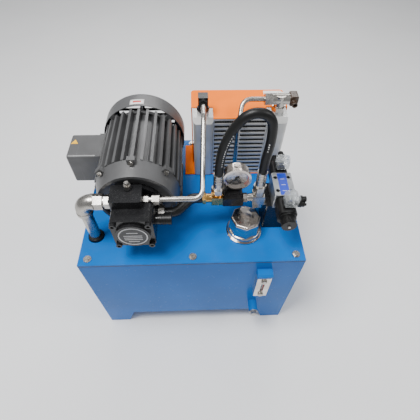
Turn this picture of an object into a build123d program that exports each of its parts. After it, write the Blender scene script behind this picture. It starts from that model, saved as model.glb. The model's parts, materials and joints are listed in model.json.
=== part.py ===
from build123d import *
import math
import os

# Hydraulic power unit on an oil reservoir.
# Millimetres. X to the right, Y to the rear, Z up. The origin is the centre of the foot-bolt pattern,
# on the floor. The motor and the pump share one axis along Y; the valve's coils lie along Y as well.

# ---------------------------------------------------------------- tank
TANK_LENGTH = 550.0
TANK_DEPTH = 440.0
TANK_HEIGHT = 380.0
TANK_WALL = 4.0
LID_THICKNESS = 5.0
GASKET_THICKNESS = 3.0
FLOOR_HEIGHT = 66.0
RIM_WIDTH = 34.0
RIM_THICKNESS = 6.0
LEG_WIDTH = 60.0
LEG_SLOPE = 22.0
FOOT_PLATE = 56.0
FOOT_THICKNESS = 6.0
FOOT_BOLT_INSET = 30.0
FOOT_BOLT_RADIUS = 7.0
LID_BOLT_INSET_X = 22.0
LID_BOLT_INSET_Y = 17.0
LID_BOLT_RADIUS = 4.0
BOLT_CLEARANCE = 0.5
THREAD_CLEARANCE = 0.05
BAFFLE_X = -20.0
BAFFLE_THICKNESS = 4.0
BAFFLE_HEIGHT = 220.0
BAFFLE_GAP = 70.0

# ---------------------------------------------------------------- level gauge and drain
GAUGE_GLASS_X = 180.0
GAUGE_GLASS_DROP = 110.0
GAUGE_GLASS_SPACING = 76.0
GAUGE_GLASS_LENGTH = 106.0
GAUGE_GLASS_WIDTH = 36.0
GAUGE_GLASS_DEPTH = 20.0
GAUGE_GLASS_BOLT = 5.0
DRAIN_X = 172.0
DRAIN_Z = 130.0
DRAIN_SOCKET_RADIUS = 13.0
DRAIN_SOCKET_LENGTH = 30.0
DRAIN_THREAD_RADIUS = 8.0

# ---------------------------------------------------------------- motor
MOTOR_X = -127.0
SHAFT_HEIGHT = 100.0
FRAME_CORE_RADIUS = 84.0
FRAME_BORE_RADIUS = 78.0
FIN_TIP_RADIUS = 103.0
FIN_THICKNESS = 6.5
FIN_PITCH_DEG = 12.0
FRAME_FRONT_Y = -72.0
FRAME_REAR_Y = 106.0
BELL_FRONT_Y = -113.0
BELL_RADIUS = 100.0
LUG_HALF_HEIGHT = 11.0
LUG_BOLT_OFFSET = 4.0
LUG_DEPTH = 12.0
LUG_WIDTH = 18.0
BELL_FACE_RADIUS = 90.0
BELL_RECESS_RADIUS = 83.0
BELL_RECESS_DEPTH = 9.0
SHIELD_THICKNESS = 10.0
COWL_RADIUS = 108.0
COWL_WALL = 1.6
COWL_FRONT_Y = 111.0
COWL_REAR_Y = 168.0
SHAFT_RADIUS = 14.0
BEARING_OUTER = 31.0
BEARING_WIDTH = 16.0
SHAFT_CLEARANCE = 0.05
ROTOR_RADIUS = 48.0
AIR_GAP = 0.5
FOOT_SPACING_X = 160.0
FOOT_SPACING_Y = 140.0
FOOT_FRONT_Y = -48.0
MOTOR_FOOT_THICKNESS = 11.0
MOTOR_FOOT_WIDTH = 40.0
MOTOR_BOLT_RADIUS = 5.0
TERMINAL_Y = 38.0
TERMINAL_Z = 482.0
TERMINAL_WIDTH = 84.0
TERMINAL_HEIGHT = 90.0
TERMINAL_INNER_X = -232.0
TERMINAL_SEAM_X = -277.0
TERMINAL_OUTER_X = -302.0
TERMINAL_WALL = 3.0
CABLE_ENTRY_RADIUS = 10.0

# ---------------------------------------------------------------- pump
PUMP_COVER_FRONT_Y = -206.0
PUMP_COVER_BACK_Y = -188.0
PUMP_WIDTH = 92.0
PUMP_FLANGE_RADIUS = 60.0
PUMP_FLANGE_THICKNESS = 12.0
PUMP_HEAD_WIDTH = 68.0
PUMP_HEAD_TOP = 548.0
PUMP_HEAD_FRONT_Y = -165.0
PUMP_HEAD_BACK_Y = -116.0
RING_BORE = 26.0
RING_OUTER = 33.0
RING_TRAVEL = 2.0
PUMP_ROTOR_RADIUS = 22.0
PUMP_CHAMBER_CLEARANCE = 0.4
PORT_Y = -137.0
SUCTION_Z = 518.0
DRAIN_LINE_Z = 522.0
PRESSURE_PORT_Y = -131.0
PRESSURE_PORT_Z = 466.0
ADJUSTER_Y = -163.0
ADJUSTER_Z = 484.0
ADJUSTER_RADIUS = 13.0
ADJUSTER_LENGTH = 26.0
FLOW_SCREW_Y = -126.0
NAMEPLATE_RADIUS = 34.0

# ---------------------------------------------------------------- suction line
SUCTION_X = -242.0
SUCTION_PIPE_RADIUS = 13.5
SUCTION_PIPE_WALL = 2.5
SUCTION_PIPE_BOTTOM = 170.0
STRAINER_RADIUS = 26.0
STRAINER_HEIGHT = 70.0
GROMMET_RADIUS = 24.0
GROMMET_HEIGHT = 7.0

# ---------------------------------------------------------------- filler and cap
FILLER_X = 131.0
FILLER_Y = -128.0
FILLER_FLANGE_RADIUS = 45.0
FILLER_FLANGE_THICKNESS = 4.0
FILLER_NECK_RADIUS = 27.0
FILLER_NECK_HEIGHT = 14.0
FILLER_NECK_WALL = 2.0
BASKET_DEPTH = 90.0
CAP_TOTAL_HEIGHT = 58.0
CAP_SKIRT_RADIUS = 42.0
CAP_SKIRT_HEIGHT = 13.0
CAP_GRIPS = 8
CAP_GRIP_RADIUS = 38.0
CAP_GRIP_TAPER_DEG = 4.0
CAP_DISH_RADIUS = 19.0
CAP_DISH_DEPTH = 2.5
CAP_CROWN_ROUND = 6.0
CAP_NECK_CLEARANCE = 1.5
SEAL_THICKNESS = 3.0

# ---------------------------------------------------------------- cooler
COOLER_LEFT_X = 7.0
COOLER_RIGHT_X = 244.0
HEADER_WIDTH = 50.0
HEADER_DEPTH = 46.0
COOLER_FRONT_Y = 71.0
COOLER_REAR_Y = 192.0
COOLER_BASE_THICKNESS = 3.0
COOLER_HEIGHT = 195.0
CORE_DEPTH = 40.0
BAR_COUNT = 14
BAR_THICKNESS = 5.5
SHROUD_WALL = 2.0
SHROUD_OVERHANG = 5.0
BASE_LEFT_X = -20.0
FAN_RADIUS = 82.0
FAN_BLADES = 7
FAN_HUB_RADIUS = 24.0
FAN_TIP_CLEARANCE = 3.0
FAN_SHAFT_RADIUS = 4.0

# ---------------------------------------------------------------- pressure line
LINE_Y = -97.0
LINE_Z = 475.0
TEE_LEFT_X = 26.0
TEE_RIGHT_X = 72.0
LEFT_FERRULE_X = 62.0
RIGHT_TEE_X = 159.0
FERRULE_RADIUS = 11.5
FERRULE_LENGTH = 58.0
ARCH_HOSE_RADIUS = 10.0
PRESSURE_PIPE_RADIUS = 12.0
PRESSURE_PIPE_WALL = 2.5
STEEL_PIPE_RADIUS = 6.0
STEEL_PIPE_WALL = 1.5
GAUGE_BLOCK_LEFT_X = 74.0
GAUGE_BLOCK_RIGHT_X = 123.0
GAUGE_X = 106.5
GAUGE_FACE_Y = -84.0
GAUGE_Z = 521.0
GAUGE_BEZEL_RADIUS = 34.0
GAUGE_CASE_DEPTH = 30.0

# ---------------------------------------------------------------- valve and manifold
VALVE_X = 214.0
VALVE_Y = -92.0
VALVE_Z = 470.0
VALVE_WIDTH = 47.0
VALVE_LENGTH = 70.0
VALVE_HEIGHT = 46.0
VALVE_HOLE_X = 31.0
VALVE_HOLE_Y = 40.5
VALVE_SCREW_RADIUS = 2.5
SPOOL_Z = 492.0
SPOOL_RADIUS = 8.0
SPOOL_TRAVEL = 3.0
COIL_RADIUS = 22.0
COIL_LENGTH = 50.0
COIL_NUT_RADIUS = 17.0
COIL_NUT_LENGTH = 24.0
PIN_RADIUS = 3.0
PIN_LENGTH = 20.0
MANIFOLD_LEFT_X = 178.0
MANIFOLD_RIGHT_X = 250.0
MANIFOLD_FRONT_Y = -122.0
MANIFOLD_REAR_Y = -48.0
WORK_PORT_RADIUS = 8.0
WORK_PORT_DEPTH = 16.0
WORK_PORT_SPACING = 34.0
WORK_PORT_Z = 432.0

# ---------------------------------------------------------------- derived places
LID_TOP = TANK_HEIGHT
SHELL_TOP = TANK_HEIGHT - LID_THICKNESS - GASKET_THICKNESS
HALF_LENGTH = TANK_LENGTH / 2
HALF_DEPTH = TANK_DEPTH / 2
FRONT_WALL_Y = -HALF_DEPTH
GAUGE_GLASS_Z = TANK_HEIGHT - GAUGE_GLASS_DROP
TANK_FLOOR_TOP = FLOOR_HEIGHT + TANK_WALL
MOTOR_Z = LID_TOP + SHAFT_HEIGHT
BEARING_FRONT_Y = BELL_FRONT_Y + BELL_RECESS_DEPTH + 4.0
SHIELD_FRONT_Y = FRAME_REAR_Y
COOLER_BOTTOM = LID_TOP + COOLER_BASE_THICKNESS
COOLER_TOP = LID_TOP + COOLER_HEIGHT
COOLER_X = (COOLER_LEFT_X + COOLER_RIGHT_X) / 2
FAN_Z = (COOLER_BOTTOM + COOLER_TOP) / 2
CORE_LEFT_X = COOLER_LEFT_X + HEADER_WIDTH
CORE_RIGHT_X = COOLER_RIGHT_X - HEADER_WIDTH
LEFT_HEADER_X = COOLER_LEFT_X + HEADER_WIDTH / 2
RIGHT_HEADER_X = COOLER_RIGHT_X - HEADER_WIDTH / 2
HEADER_PORT_Y = COOLER_FRONT_Y + HEADER_DEPTH / 2
CAP_BOTTOM = LID_TOP + FILLER_FLANGE_THICKNESS
PUMP_LEFT_X = MOTOR_X - PUMP_WIDTH / 2
PUMP_RIGHT_X = MOTOR_X + PUMP_WIDTH / 2

RIGHT = (1, 0, 0)
LEFT = (-1, 0, 0)
REAR = (0, 1, 0)
FRONT = (0, -1, 0)
UP = (0, 0, 1)
DOWN = (0, 0, -1)

os.makedirs("parts", exist_ok=True)


def save(name, *solids):
    """Write one sub-part as a STEP file; several solids stay separate pieces of one group."""
    shape = solids[0] if len(solids) == 1 else Compound(children=list(solids))
    export_step(shape, "parts/" + name + ".step")


def block(x0, x1, y0, y1, z0, z1):
    """A box between two opposite corners."""
    centre = Pos((x0 + x1) / 2, (y0 + y1) / 2, (z0 + z1) / 2)
    return centre * Box(abs(x1 - x0), abs(y1 - y0), abs(z1 - z0))


def rod(start, axis, length, radius):
    """A round bar that starts at a point and runs along an axis."""
    plane = Plane(origin=start, z_dir=axis)
    return plane * Cylinder(radius, length, align=(Align.CENTER, Align.CENTER, Align.MIN))


def ring(start, axis, length, outer, inner):
    """A round bar with a round hole through it."""
    return rod(start, axis, length, outer) - rod(start, axis, length, inner)


def cone(start, axis, length, base, tip):
    """A tapered round bar."""
    plane = Plane(origin=start, z_dir=axis)
    return plane * Cone(base, tip, length, align=(Align.CENTER, Align.CENTER, Align.MIN))


def hexagon(start, axis, length, across_flats):
    """A hexagonal bar, measured across its flats."""
    plane = Plane(origin=start, z_dir=axis)
    return extrude(plane * RegularPolygon(across_flats / 2, 6, major_radius=False), amount=length)


def moved(point, dx=0.0, dy=0.0, dz=0.0):
    """A point shifted along the three axes."""
    return (point[0] + dx, point[1] + dy, point[2] + dz)


def bend_radii(points, share=0.45):
    """The largest arc that each corner's two runs leave room for."""
    radii = []
    for before, corner, after in zip(points, points[1:], points[2:]):
        run_in = Vector(*corner) - Vector(*before)
        run_out = Vector(*after) - Vector(*corner)
        turn = math.radians(run_in.get_angle(run_out))
        radii.append(share * min(run_in.length, run_out.length) / math.tan(turn / 2))
    return radii


def pipe_path(points, radii):
    """Straight runs joined by tangent arcs."""
    return FilletPolyline(*points, radius=radii)


def swept_tube(points, radii, outer, inner=0.0):
    """A round tube along straight runs and arcs."""
    path = pipe_path(points, radii)
    start = Plane(origin=path @ 0, z_dir=path % 0)
    section = start * Circle(outer)
    if inner:
        section -= start * Circle(inner)
    return sweep(section, path=path)


def hose(name, points, radius):
    """A solid hose, whose bend radii are printed with its length and its volume check."""
    radii = bend_radii(points)
    path = pipe_path(points, radii)
    solid = swept_tube(points, radii, radius)
    expected = math.pi * radius**2 * path.length
    print(name, "radii", [round(r, 1) for r in radii], "length", round(path.length, 1),
          "volume ratio", round(solid.volume / expected, 4))
    return solid


def hex_bolt(seat, axis, shank_radius, shank_length, flats, head_height, washer_radius=0.0):
    """A hex-head bolt whose head stands on the seat and whose shank goes the other way."""
    inward = tuple(-part for part in axis)
    bolt = rod(seat, inward, shank_length, shank_radius) + hexagon(seat, axis, head_height, flats)
    if washer_radius:
        bolt += rod(seat, axis, head_height * 0.3, washer_radius)
    return bolt


def socket_screw(seat, axis, shank_radius, shank_length, head_radius, head_height):
    """A cap screw with a hexagon socket in its head."""
    inward = tuple(-part for part in axis)
    screw = rod(seat, inward, shank_length, shank_radius) + rod(seat, axis, head_height, head_radius)
    depth = head_height * 0.5
    mouth = tuple(s + a * (head_height - depth) for s, a in zip(seat, axis))
    return screw - hexagon(mouth, axis, depth, head_radius)


# ================================================================ tank
LID_BOLT_POINTS = [(x * (HALF_LENGTH - LID_BOLT_INSET_X), y * (HALF_DEPTH - LID_BOLT_INSET_Y))
                   for y in (-1, 1) for x in (-1, 0, 1)]
RETURN_PIPE_X = 117.0
RETURN_PIPE_Y = 50.0
GROMMET_PLUG = 4.0
TANK_TUBE_RADIUS = 9.0
TANK_TUBE_BOTTOM = 180.0
GROMMETS = [(SUCTION_X, PORT_Y, SUCTION_PIPE_RADIUS), (RETURN_PIPE_X, RETURN_PIPE_Y, STEEL_PIPE_RADIUS)]


def leg_gap(across, half_span, half_depth):
    """The sloped opening between two legs, cut right through the tank below its floor."""
    outline = Polyline((-half_span - LEG_SLOPE, -1), (half_span + LEG_SLOPE, -1),
                       (half_span, FLOOR_HEIGHT), (-half_span, FLOOR_HEIGHT), close=True)
    if across == REAR:
        plane = Plane(origin=(0, 0, 0), x_dir=RIGHT, z_dir=FRONT)
    else:
        plane = Plane(origin=(0, 0, 0), x_dir=REAR, z_dir=RIGHT)
    return extrude(plane * make_face(outline), amount=half_depth, both=True)


def make_tank_shell():
    shell = block(-HALF_LENGTH, HALF_LENGTH, -HALF_DEPTH, HALF_DEPTH, 0, SHELL_TOP)
    inner_x = HALF_LENGTH - TANK_WALL
    inner_y = HALF_DEPTH - TANK_WALL
    shell -= block(-inner_x, inner_x, -inner_y, inner_y, TANK_FLOOR_TOP, SHELL_TOP - RIM_THICKNESS)
    shell -= block(-inner_x, inner_x, -inner_y, inner_y, -1, FLOOR_HEIGHT)
    rim_x = HALF_LENGTH - RIM_WIDTH
    rim_y = HALF_DEPTH - RIM_WIDTH
    shell -= block(-rim_x, rim_x, -rim_y, rim_y, SHELL_TOP - RIM_THICKNESS - 1, SHELL_TOP + 1)
    shell -= leg_gap(REAR, HALF_LENGTH - LEG_WIDTH - LEG_SLOPE, HALF_DEPTH + 1)
    shell -= leg_gap(RIGHT, HALF_DEPTH - LEG_WIDTH - LEG_SLOPE, HALF_LENGTH + 1)
    for x in (-1, 1):
        for y in (-1, 1):
            plate = block(x * inner_x, x * (inner_x - FOOT_PLATE), y * inner_y, y * (inner_y - FOOT_PLATE),
                          0, FOOT_THICKNESS)
            hole = (x * (HALF_LENGTH - FOOT_BOLT_INSET), y * (HALF_DEPTH - FOOT_BOLT_INSET), -1)
            shell += plate
            shell -= rod(hole, UP, FOOT_THICKNESS + 2, FOOT_BOLT_RADIUS)
    for x, y in LID_BOLT_POINTS:
        shell -= rod((x, y, SHELL_TOP - RIM_THICKNESS - 1), UP, RIM_THICKNESS + 2,
                     LID_BOLT_RADIUS + THREAD_CLEARANCE)
    shell -= rod((SUCTION_X, PORT_Y, SHELL_TOP - RIM_THICKNESS - 1), UP, RIM_THICKNESS + 2, GROMMET_RADIUS)
    shell += rod((DRAIN_X, FRONT_WALL_Y, DRAIN_Z), FRONT, DRAIN_SOCKET_LENGTH, DRAIN_SOCKET_RADIUS)
    shell -= rod((DRAIN_X, FRONT_WALL_Y - DRAIN_SOCKET_LENGTH - 1, DRAIN_Z), REAR,
                 DRAIN_SOCKET_LENGTH + TANK_WALL + 2, DRAIN_THREAD_RADIUS + THREAD_CLEARANCE)
    for z in level_gauge_bolt_heights():
        shell -= rod((GAUGE_GLASS_X, FRONT_WALL_Y - 1, z), REAR, TANK_WALL + 2,
                     GAUGE_GLASS_BOLT + THREAD_CLEARANCE)
    return shell


def level_gauge_bolt_heights():
    return [GAUGE_GLASS_Z + side * GAUGE_GLASS_SPACING / 2 for side in (-1, 1)]


def make_lid_plate():
    lid = block(-HALF_LENGTH, HALF_LENGTH, -HALF_DEPTH, HALF_DEPTH, LID_TOP - LID_THICKNESS, LID_TOP)
    through = LID_THICKNESS + 2
    bottom = LID_TOP - LID_THICKNESS - 1
    for x, y in LID_BOLT_POINTS:
        lid -= rod((x, y, bottom), UP, through, LID_BOLT_RADIUS + BOLT_CLEARANCE)
    for x, y, radius in GROMMETS:
        lid -= rod((x, y, bottom), UP, through, radius + GROMMET_PLUG)
    lid -= rod((FILLER_X, FILLER_Y, bottom), UP, through, FILLER_NECK_RADIUS)
    lid -= rod((VALVE_X, VALVE_Y, bottom), UP, through, TANK_TUBE_RADIUS)
    for x, y in motor_bolt_points():
        lid -= rod((x, y, bottom), UP, through, MOTOR_BOLT_RADIUS + THREAD_CLEARANCE)
    return lid


def make_lid_gasket():
    low = SHELL_TOP
    rim_x = HALF_LENGTH - RIM_WIDTH
    rim_y = HALF_DEPTH - RIM_WIDTH
    gasket = block(-HALF_LENGTH, HALF_LENGTH, -HALF_DEPTH, HALF_DEPTH, low, low + GASKET_THICKNESS)
    gasket -= block(-rim_x, rim_x, -rim_y, rim_y, low - 1, low + GASKET_THICKNESS + 1)
    for x, y in LID_BOLT_POINTS:
        gasket -= rod((x, y, low - 1), UP, GASKET_THICKNESS + 2, LID_BOLT_RADIUS + BOLT_CLEARANCE)
    gasket -= rod((SUCTION_X, PORT_Y, low - 1), UP, GASKET_THICKNESS + 2, GROMMET_RADIUS)
    return gasket


def make_lid_bolts():
    grip = LID_THICKNESS + GASKET_THICKNESS + RIM_THICKNESS + 4
    return [hex_bolt((x, y, LID_TOP), UP, LID_BOLT_RADIUS, grip, 13, 6.5, 9.5) for x, y in LID_BOLT_POINTS]


def make_tank_baffle():
    back = HALF_DEPTH - TANK_WALL
    baffle = block(BAFFLE_X, BAFFLE_X + BAFFLE_THICKNESS, -back, back - BAFFLE_GAP,
                   TANK_FLOOR_TOP, TANK_FLOOR_TOP + BAFFLE_HEIGHT)
    return baffle


def make_level_gauge():
    """The clear body lies against the wall; the metal cover lies over it and shows it through a slot."""
    half = GAUGE_GLASS_LENGTH / 2
    half_width = GAUGE_GLASS_WIDTH / 2
    low = GAUGE_GLASS_Z - half
    high = GAUGE_GLASS_Z + half
    body_front = FRONT_WALL_Y - GAUGE_GLASS_DEPTH + 3
    wall = 2.0
    body = block(GAUGE_GLASS_X - half_width + wall, GAUGE_GLASS_X + half_width - wall,
                 body_front, FRONT_WALL_Y, low + wall, high - wall)
    cover = block(GAUGE_GLASS_X - half_width, GAUGE_GLASS_X + half_width,
                  FRONT_WALL_Y - GAUGE_GLASS_DEPTH, FRONT_WALL_Y, low, high)
    cover -= block(GAUGE_GLASS_X - half_width + wall, GAUGE_GLASS_X + half_width - wall,
                   body_front, FRONT_WALL_Y + 1, low + wall, high - wall)
    slot_width = 9.0
    slot_height = GAUGE_GLASS_SPACING - 34
    cover -= block(GAUGE_GLASS_X - slot_width / 2, GAUGE_GLASS_X + slot_width / 2,
                   FRONT_WALL_Y - GAUGE_GLASS_DEPTH - 1, body_front + 1,
                   GAUGE_GLASS_Z - slot_height / 2, GAUGE_GLASS_Z + slot_height / 2)
    bolts = []
    for z in level_gauge_bolt_heights():
        hole = rod((GAUGE_GLASS_X, FRONT_WALL_Y - GAUGE_GLASS_DEPTH - 1, z), REAR,
                   GAUGE_GLASS_DEPTH + 2, GAUGE_GLASS_BOLT + THREAD_CLEARANCE)
        cover -= hole
        body -= hole
        bolts.append(hex_bolt((GAUGE_GLASS_X, FRONT_WALL_Y - GAUGE_GLASS_DEPTH, z), FRONT,
                              GAUGE_GLASS_BOLT, GAUGE_GLASS_DEPTH + TANK_WALL + 6, 13, 5, 8))
    return cover, body, bolts


def make_level_gauge_cap():
    """The block on top of the level gauge, which holds its thermometer bulb."""
    half_width = GAUGE_GLASS_WIDTH / 2 + 1
    low = GAUGE_GLASS_Z + GAUGE_GLASS_LENGTH / 2
    height = 18.0
    cap = block(GAUGE_GLASS_X - half_width, GAUGE_GLASS_X + half_width,
                FRONT_WALL_Y - GAUGE_GLASS_DEPTH - 2, FRONT_WALL_Y, low, low + height)
    return chamfer(cap.edges().filter_by(Axis.X).sort_by(Axis.Y)[0:2], 5)


def make_drain_plug():
    end = FRONT_WALL_Y - DRAIN_SOCKET_LENGTH
    plug = rod((DRAIN_X, end, DRAIN_Z), REAR, DRAIN_SOCKET_LENGTH - 4, DRAIN_THREAD_RADIUS)
    plug += rod((DRAIN_X, end, DRAIN_Z), FRONT, 3, 12)
    plug += hexagon((DRAIN_X, end - 3, DRAIN_Z), FRONT, 9, 17)
    return plug


def make_grommets():
    pieces = []
    for x, y, radius in GROMMETS:
        bottom = (x, y, LID_TOP - LID_THICKNESS)
        height = LID_THICKNESS + GROMMET_HEIGHT
        piece = rod(bottom, UP, height, radius + GROMMET_PLUG)
        piece += cone((x, y, LID_TOP), UP, GROMMET_HEIGHT, radius + 7, radius + 5)
        pieces.append(piece - rod(moved(bottom, dz=-1), UP, height + 2, radius))
    return pieces



# ================================================================ motor
LUG_ANGLES = (45, 90, 135)
COWL_ROUND = 12.0
COWL_LID_GAP = 3.0


def motor_axis(y):
    return (MOTOR_X, y, MOTOR_Z)


def motor_bolt_points():
    return [(MOTOR_X + side * FOOT_SPACING_X / 2, FOOT_FRONT_Y + step * FOOT_SPACING_Y)
            for side in (-1, 1) for step in (0, 1)]


def radial_bars(count, start_deg, step_deg, inner, outer, thickness, y0, y1):
    """Flat bars that stand out from the motor's axis."""
    bars = []
    for index in range(count):
        bar = block(inner, outer, y0, y1, -thickness / 2, thickness / 2)
        angle = start_deg + index * step_deg
        bars.append(Pos(MOTOR_X, 0, MOTOR_Z) * (Rot(0, -angle, 0) * bar))
    return bars


def make_motor_frame():
    length = FRAME_REAR_Y - FRAME_FRONT_Y
    frame = rod(motor_axis(FRAME_FRONT_Y), REAR, length, FRAME_CORE_RADIUS)
    fins = round((180 + 2 * FIN_PITCH_DEG) / FIN_PITCH_DEG)
    frame += radial_bars(fins, -FIN_PITCH_DEG / 2, FIN_PITCH_DEG, FRAME_CORE_RADIUS - 3,
                         FIN_TIP_RADIUS, FIN_THICKNESS, FRAME_FRONT_Y, FRAME_REAR_Y)
    pad = block(TERMINAL_INNER_X, MOTOR_X - FRAME_CORE_RADIUS + 14, TERMINAL_Y - TERMINAL_WIDTH / 2,
                TERMINAL_Y + TERMINAL_WIDTH / 2, TERMINAL_Z - TERMINAL_HEIGHT / 2,
                TERMINAL_Z + TERMINAL_HEIGHT / 2)
    frame += pad
    for side in (-1, 1):
        x = MOTOR_X + side * FOOT_SPACING_X / 2
        half = MOTOR_FOOT_WIDTH / 2
        y0 = FOOT_FRONT_Y - half
        y1 = FOOT_FRONT_Y + FOOT_SPACING_Y
        foot = block(x - half, x + half, y0, min(y1 + half, FRAME_REAR_Y), LID_TOP,
                     LID_TOP + MOTOR_FOOT_THICKNESS)
        frame += foot
        for y in (y0, y1 - half):
            frame += block(x - side * half, x - side * (half + 14), y + 8, y + 20, LID_TOP, MOTOR_Z - 50)
    for x, y in motor_bolt_points():
        frame -= rod((x, y, LID_TOP - 1), UP, MOTOR_FOOT_THICKNESS + 2, MOTOR_BOLT_RADIUS + BOLT_CLEARANCE)
    frame -= rod(motor_axis(FRAME_FRONT_Y - 1), REAR, length + 2, FRAME_BORE_RADIUS)
    return frame


def make_end_bell():
    """The drive end bell: a flared casting with a machined ring round a recess for the pump flange."""
    spigot = 8.0
    cup = 10.0
    bell = cone(motor_axis(FRAME_FRONT_Y), FRONT, FRAME_FRONT_Y - BELL_FRONT_Y, BELL_RADIUS, BELL_FACE_RADIUS)
    bell += rod(motor_axis(FRAME_FRONT_Y), REAR, spigot, FRAME_BORE_RADIUS)
    inner_depth = BELL_FRONT_Y + BELL_RECESS_DEPTH + 4.0 + BEARING_WIDTH
    bell -= rod(motor_axis(inner_depth), REAR, FRAME_FRONT_Y + spigot + 1 - inner_depth, FRAME_BORE_RADIUS - cup)
    bell -= rod(motor_axis(BELL_FRONT_Y - 1), REAR, BELL_RECESS_DEPTH + 1, BELL_RECESS_RADIUS)
    bell -= rod(motor_axis(BEARING_FRONT_Y), REAR, BEARING_WIDTH + 1, BEARING_OUTER)
    bell -= rod(motor_axis(BELL_FRONT_Y - 1), REAR, 60, SHAFT_RADIUS + 2)
    for angle in LUG_ANGLES:
        lug = block(BELL_RADIUS - LUG_HALF_HEIGHT, BELL_RADIUS + LUG_HALF_HEIGHT,
                    FRAME_FRONT_Y - LUG_DEPTH, FRAME_FRONT_Y, -LUG_WIDTH / 2, LUG_WIDTH / 2)
        bell += Pos(MOTOR_X, 0, MOTOR_Z) * (Rot(0, -angle, 0) * lug)
    return bell


def make_rear_shield():
    shield = rod(motor_axis(SHIELD_FRONT_Y), REAR, SHIELD_THICKNESS, FRAME_CORE_RADIUS + 6)
    shield += rod(motor_axis(SHIELD_FRONT_Y), FRONT, BEARING_WIDTH, BEARING_OUTER + 8)
    shield -= rod(motor_axis(SHIELD_FRONT_Y - BEARING_WIDTH - 1), REAR, BEARING_WIDTH + 1, BEARING_OUTER)
    shield -= rod(motor_axis(SHIELD_FRONT_Y - 1), REAR, SHIELD_THICKNESS + 2, SHAFT_RADIUS + 2)
    spokes = 4
    for index in range(spokes):
        spoke = block(FRAME_CORE_RADIUS, COWL_RADIUS - COWL_WALL - 0.4, SHIELD_FRONT_Y + 5,
                      SHIELD_FRONT_Y + SHIELD_THICKNESS + 4, -7, 7)
        shield += Pos(MOTOR_X, 0, MOTOR_Z) * (Rot(0, -(45 + 90 * index), 0) * spoke)
    return shield


def cowl_form(start, length, radius, corner):
    """A round drum with a rounded rear edge and a flat where it stands over the lid."""
    drum = rod(motor_axis(start), REAR, length, radius)
    drum = fillet(drum.edges().sort_by(Axis.Y)[-1], corner)
    flat = LID_TOP + COWL_LID_GAP + COWL_RADIUS - radius
    return drum - block(MOTOR_X - radius, MOTOR_X + radius, start - 1, start + length + 1, flat - 40, flat)


def make_fan_cowl():
    length = COWL_REAR_Y - COWL_FRONT_Y
    cowl = cowl_form(COWL_FRONT_Y, length, COWL_RADIUS, COWL_ROUND)
    cowl -= cowl_form(COWL_FRONT_Y - 1, length + 1 - COWL_WALL, COWL_RADIUS - COWL_WALL, COWL_ROUND - COWL_WALL)
    slot_rows = 9
    slot_pitch = 16.0
    for row in range(slot_rows):
        dz = (row - (slot_rows - 1) / 2) * slot_pitch
        reach = math.sqrt(max((COWL_RADIUS - 26) ** 2 - dz**2, 100.0))
        for side in (-1, 1):
            cowl -= block(MOTOR_X + side * 4, MOTOR_X + side * reach, COWL_REAR_Y - COWL_WALL - 1,
                          COWL_REAR_Y + 1, MOTOR_Z + dz - 4, MOTOR_Z + dz + 4)
    return cowl


def make_motor_inside():
    stator_front = FRAME_FRONT_Y + 34
    stator_rear = FRAME_REAR_Y - 34
    core = ring(motor_axis(stator_front), REAR, stator_rear - stator_front, FRAME_BORE_RADIUS,
                ROTOR_RADIUS + AIR_GAP)
    winding = 14.0
    for start, axis in ((stator_front, FRONT), (stator_rear, REAR)):
        core += ring(motor_axis(start), axis, winding, FRAME_BORE_RADIUS - 6, ROTOR_RADIUS + 5)
    shaft_front = BELL_FRONT_Y - 20
    shaft_rear = COWL_REAR_Y - 18
    rotor = rod(motor_axis(shaft_front), REAR, shaft_rear - shaft_front, SHAFT_RADIUS)
    rotor += rod(motor_axis(stator_front), REAR, stator_rear - stator_front, ROTOR_RADIUS)
    bearings = [ring(motor_axis(y), REAR, BEARING_WIDTH, BEARING_OUTER, SHAFT_RADIUS + SHAFT_CLEARANCE)
                for y in (BEARING_FRONT_Y, SHIELD_FRONT_Y - BEARING_WIDTH)]
    return core, rotor, bearings


def make_motor_fan():
    hub_front = SHIELD_FRONT_Y + SHIELD_THICKNESS + 6
    hub_length = 22.0
    fan = ring(motor_axis(hub_front), REAR, hub_length, 26, SHAFT_RADIUS)
    fan += radial_bars(8, 0, 45, 24, COWL_RADIUS - 20, 4, hub_front, hub_front + hub_length)
    fan += ring(motor_axis(hub_front), REAR, 3, COWL_RADIUS - 24, SHAFT_RADIUS)
    return fan


def make_terminal_box():
    y0 = TERMINAL_Y - TERMINAL_WIDTH / 2
    y1 = TERMINAL_Y + TERMINAL_WIDTH / 2
    z0 = TERMINAL_Z - TERMINAL_HEIGHT / 2
    z1 = TERMINAL_Z + TERMINAL_HEIGHT / 2
    wall = TERMINAL_WALL
    box = block(TERMINAL_SEAM_X, TERMINAL_INNER_X, y0, y1, z0, z1)
    box = fillet(box.edges().filter_by(Axis.X), 8)
    box -= block(TERMINAL_SEAM_X - 1, TERMINAL_INNER_X - wall, y0 + wall, y1 - wall, z0 + wall, z1 - wall)
    box -= rod((TERMINAL_SEAM_X + 22, y1 - wall - 1, TERMINAL_Z), REAR, wall + 2, CABLE_ENTRY_RADIUS)
    lid = block(TERMINAL_OUTER_X, TERMINAL_SEAM_X, y0, y1, z0, z1)
    lid = fillet(lid.edges().filter_by(Axis.X), 8)
    lid = fillet(lid.faces().sort_by(Axis.X)[0].edges(), 5)
    lid -= block(TERMINAL_OUTER_X + wall, TERMINAL_SEAM_X + 1, y0 + wall, y1 - wall, z0 + wall, z1 - wall)
    return box, lid


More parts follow.
